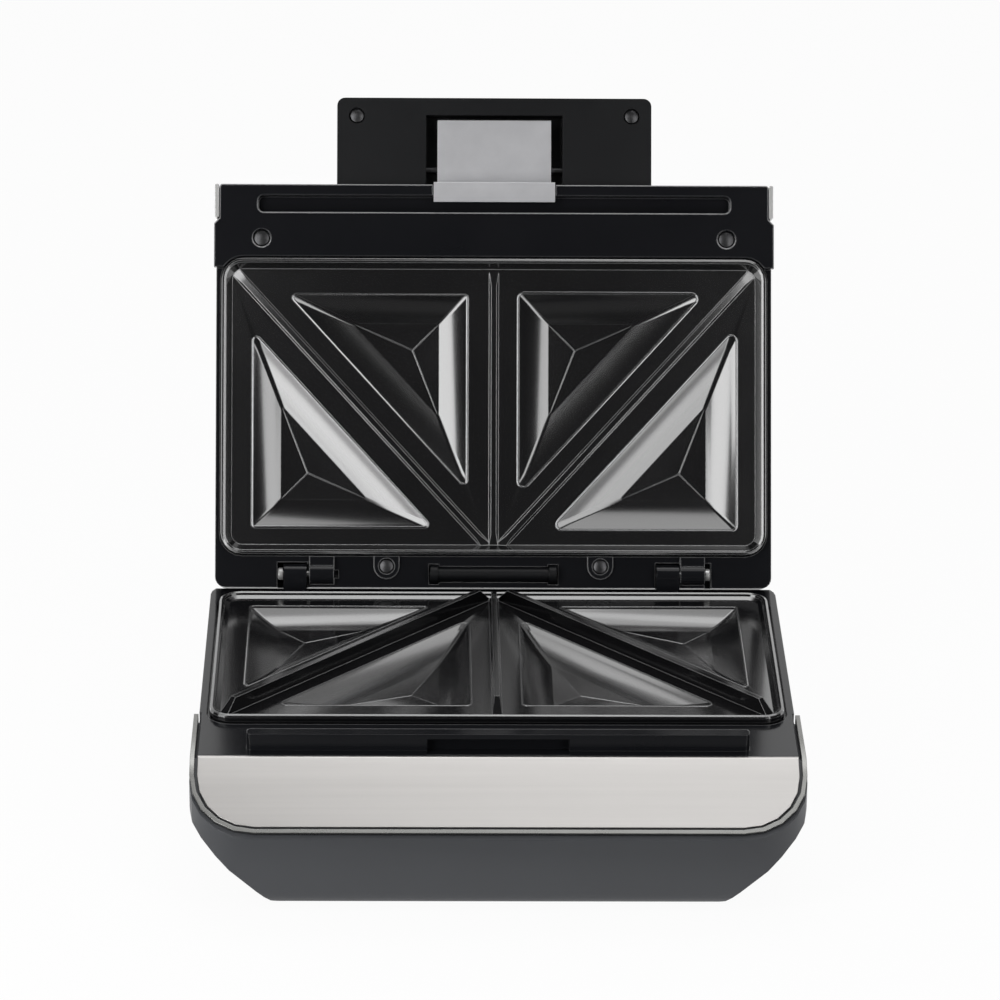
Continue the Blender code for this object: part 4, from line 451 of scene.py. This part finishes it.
def addRidge(shape, start, end, up):  # a low round-backed bead along one crease
    along = (end - start).normalized()
    side = along.cross(up).normalized()
    rings = []
    for step in range(ridge["steps"] + 1):
        share = step / ridge["steps"]
        slim = math.sqrt(max(ridge["slimmest"], 1 - share ** ridge["taper"]))
        rings.append(addRing(shape, start.lerp(end, share), side, up, ridge, slim))
    joinRings(shape, rings, rings[1:])
    shape.faces.new(list(reversed(rings[0])))
    shape.faces.new(rings[-1])


def makeRidges(name, plate, body, look):
    cast = welded(nodes[plate].data)
    shape = bmesh.new()
    for tip in pocketTips(cast):
        for end in creaseEnds(tip):
            addRidge(shape, tip.co.copy(), end, tip.normal.copy())
    cast.free()
    layBead(shape, name, body, ridge, look)


# the ridges wear a finish lighter than the plate: painted highlight
makeRidges("lower_pocket_ridges", "lower_cooking_plate", "base", "paintedBeadHighlight")
makeRidges("upper_pocket_ridges", "upper_cooking_plate", "lid", "paintedBeadHighlight")
print("ridges laid")


lip = {  # the raised edge round each pocket's mouth
    "width": 0.0009, "rise": 0.00024, "sink": 0.0004, "sides": 6, "sharp": 50, "outset": 0.0007,
    "facing": 0.98, "flat": 0.9999,  # cosines: turned the pockets' way, and level with the land
    "turnDigits": 3, "heightDigits": 4,  # to which faces of one level agree
    "level": 0.00005, "leastFall": 4.0,  # metres off the land, and degrees of a pocket's wall
}


def landOf(shape):  # the widest flat level of a plate on its pockets' side: its normal and height
    toward = next(pocketTips(shape)).normal
    levels = {}
    for face in shape.faces:
        if face.normal.dot(toward) > lip["facing"]:
            height = face.normal.dot(face.verts[0].co)
            turn = tuple(round(along, lip["turnDigits"]) for along in face.normal)
            key = (turn, round(height, lip["heightDigits"]))
            levels.setdefault(key, [0.0, face.normal.copy(), height])[0] += face.calc_area()
    widest = max(levels.values(), key=lambda level: level[0])
    return widest[1:]


def mouthLoops(shape, up, height):  # the closed rows of corners where the land falls into a pocket
    following = {}
    for edge in shape.edges:
        off = max(abs(vert.co.dot(up) - height) for vert in edge.verts)
        if len(edge.link_faces) != 2 or off > lip["level"]:
            continue
        land, wall = sorted(edge.link_faces, key=lambda face: -face.normal.dot(up))
        fall = math.degrees(wall.normal.angle(up))
        if land.normal.dot(up) > lip["flat"] and fall > lip["leastFall"] and edge.is_convex:
            for first, second in (edge.verts, reversed(edge.verts)):
                following.setdefault(first, []).append(second)
    left = {vert for vert, others in following.items() if len(others) == 2}
    while left:
        start = min(left, key=lambda vert: tuple(vert.co))
        loop = [start]
        left.discard(start)
        onward = following[start][0]
        while onward in left:
            loop.append(onward)
            left.discard(onward)
            onward = next((vert for vert in following[onward] if vert in left), start)
        if len(loop) > lip["sides"]:
            yield [vert.co.copy() for vert in loop]


def addLip(shape, loop, up):  # a closed bead just outside one pocket's mouth
    rings = []
    for i, corner in enumerate(loop):
        before = (corner - loop[i - 1]).normalized()
        after = (loop[(i + 1) % len(loop)] - corner).normalized()
        side = (before + after).cross(up).normalized()
        rings.append(addRing(shape, corner + side * lip["outset"], side, up, lip))
    joinRings(shape, rings, rings[1:] + rings[:1])


def makeLips(name, plate, body, look):
    cast = welded(nodes[plate].data)
    up, height = landOf(cast)
    shape = bmesh.new()
    for loop in mouthLoops(cast, up, height):
        addLip(shape, loop, up)
    cast.free()
    layBead(shape, name, body, lip, look)


# the lips wear finishes lighter than the plate: painted highlight
makeLips("lower_pocket_lips", "lower_cooking_plate", "base", "paintedBeadHighlight")
makeLips("upper_pocket_lips", "upper_cooking_plate", "lid", "paintedLipHighlight")
print("lips laid")


stage = {
    "floorSize": 14.0, "floorColour": (0.92, 0.92, 0.92), "glow": 0.95,
    "darkColour": (0.1, 0.1, 0.1),  # of the floor in front, as the part mirrors it
    "behind": (-0.26, -0.16), "beside": (0.18, 0.3),  # where the dark ends, backwards and sideways
    "ambientSpan": (0.3, 0.85), "ambient": (0.03, 0.95),  # the world's light, from front to back
}


def makeFloor():
    bpy.ops.mesh.primitive_grid_add(x_subdivisions=2, y_subdivisions=2, size=stage["floorSize"])
    floor = bpy.context.object
    floor.name = "floor"
    material = bpy.data.materials.new("paleFloor")
    start = blank(material)
    rays = start.node("LightPath", out="Is Camera Ray")
    shine = start.node("LightPath", out="Is Glossy Ray")
    place = start.node("TexCoord", out="Object")
    across = start.node("SeparateXYZ", None, {0: place}, out="X")
    depth = start.node("SeparateXYZ", None, {0: place}, out="Y")
    behind = eased(start, depth, stage["behind"])
    sideways = start.node("Math", {"operation": "ABSOLUTE"}, {0: across})
    beside = eased(start, sideways, stage["beside"])
    pale = (behind + beside + rays).clamped()
    paper = mixed(start, pale, rgba(stage["darkColour"]), rgba(stage["floorColour"]))
    matt = start.node("BsdfDiffuse", None, {"Color": paper})
    white = start.node("Emission", None, {"Color": (1, 1, 1, 1), "Strength": 1.0})
    seen = (rays + shine * behind).clamped() * stage["glow"]
    both = start.node("MixShader", None, {0: seen, 1: matt, 2: white})
    start.node("OutputMaterial", None, {"Surface": both})
    floor.data.materials.append(material)


def makeWorld():
    world = bpy.data.worlds.new("studio")
    bpy.context.scene.world = world
    start = blank(world)
    rays = start.node("LightPath", out="Is Camera Ray")
    towards = start.node("TexCoord", out="Generated")
    depth = start.node("SeparateXYZ", None, {0: towards}, out="Y")
    ambient = eased(start, depth, stage["ambientSpan"], stage["ambient"])
    # the camera sees plain white; 2 and 3 are the number sockets
    strength = start.node("Mix", {"data_type": "FLOAT"}, {0: rays, 2: ambient, 3: 1.0})
    glow = start.node("Background", None, {"Color": (1, 1, 1, 1), "Strength": strength})
    start.node("OutputWorld", None, {"Surface": glow})


lamps = {
    "overhead": {
        "place": (0.15, 0.1, 1.9), "aim": (0.0, 0.0, 0.05), "size": (1.7, 0.8), "radiance": 1.4,
    },
    "rearTop": {
        "place": (0.15, 0.8, 1.7), "aim": (0.0, 0.0, 0.05), "size": (1.9, 0.7), "radiance": 1.7,
    },
    "leftCard": {
        "place": (-0.44, -0.5, 0.4), "aim": (0.0, 0.05, 0.2), "size": (0.34, 0.8), "radiance": 3.4,
    },
    "rightCard": {
        "place": (0.42, -0.55, 0.4), "aim": (0.0, 0.05, 0.2), "size": (0.28, 0.8), "radiance": 2.3,
    },
}


def makeLamp(name, lamp):
    light = bpy.data.lights.new(name, "AREA")
    light.shape = "RECTANGLE"
    light.size, light.size_y = lamp["size"]
    light.energy = lamp["radiance"] * math.pi * light.size * light.size_y
    holder = bpy.data.objects.new(name, light)
    holder.location = lamp["place"]
    holder.visible_camera = False
    sight = Vector(lamp["aim"]) - Vector(lamp["place"])
    holder.rotation_euler = sight.to_track_quat("-Z", "Y").to_euler()
    bpy.context.scene.collection.objects.link(holder)


makeFloor()
makeWorld()
for name, lamp in lamps.items():
    makeLamp(name, lamp)
print("stage lit")


view = {
    "place": (-0.0342, -2.0598, 0.9711), "turn": (67.614, -0.512, -0.788),  # metres and degrees
    "lens": 186.5, "sensor": 36.0, "clip": (0.1, 30.0),
}
camera = bpy.data.objects.new("camera", bpy.data.cameras.new("camera"))
camera.location = view["place"]
camera.rotation_euler = [math.radians(turn) for turn in view["turn"]]
camera.data.lens = view["lens"]
camera.data.sensor_width = view["sensor"]
camera.data.clip_start, camera.data.clip_end = view["clip"]
bpy.context.scene.collection.objects.link(camera)
bpy.context.scene.camera = camera
bpy.context.scene.view_settings.view_transform = "Standard"
print("camera set")
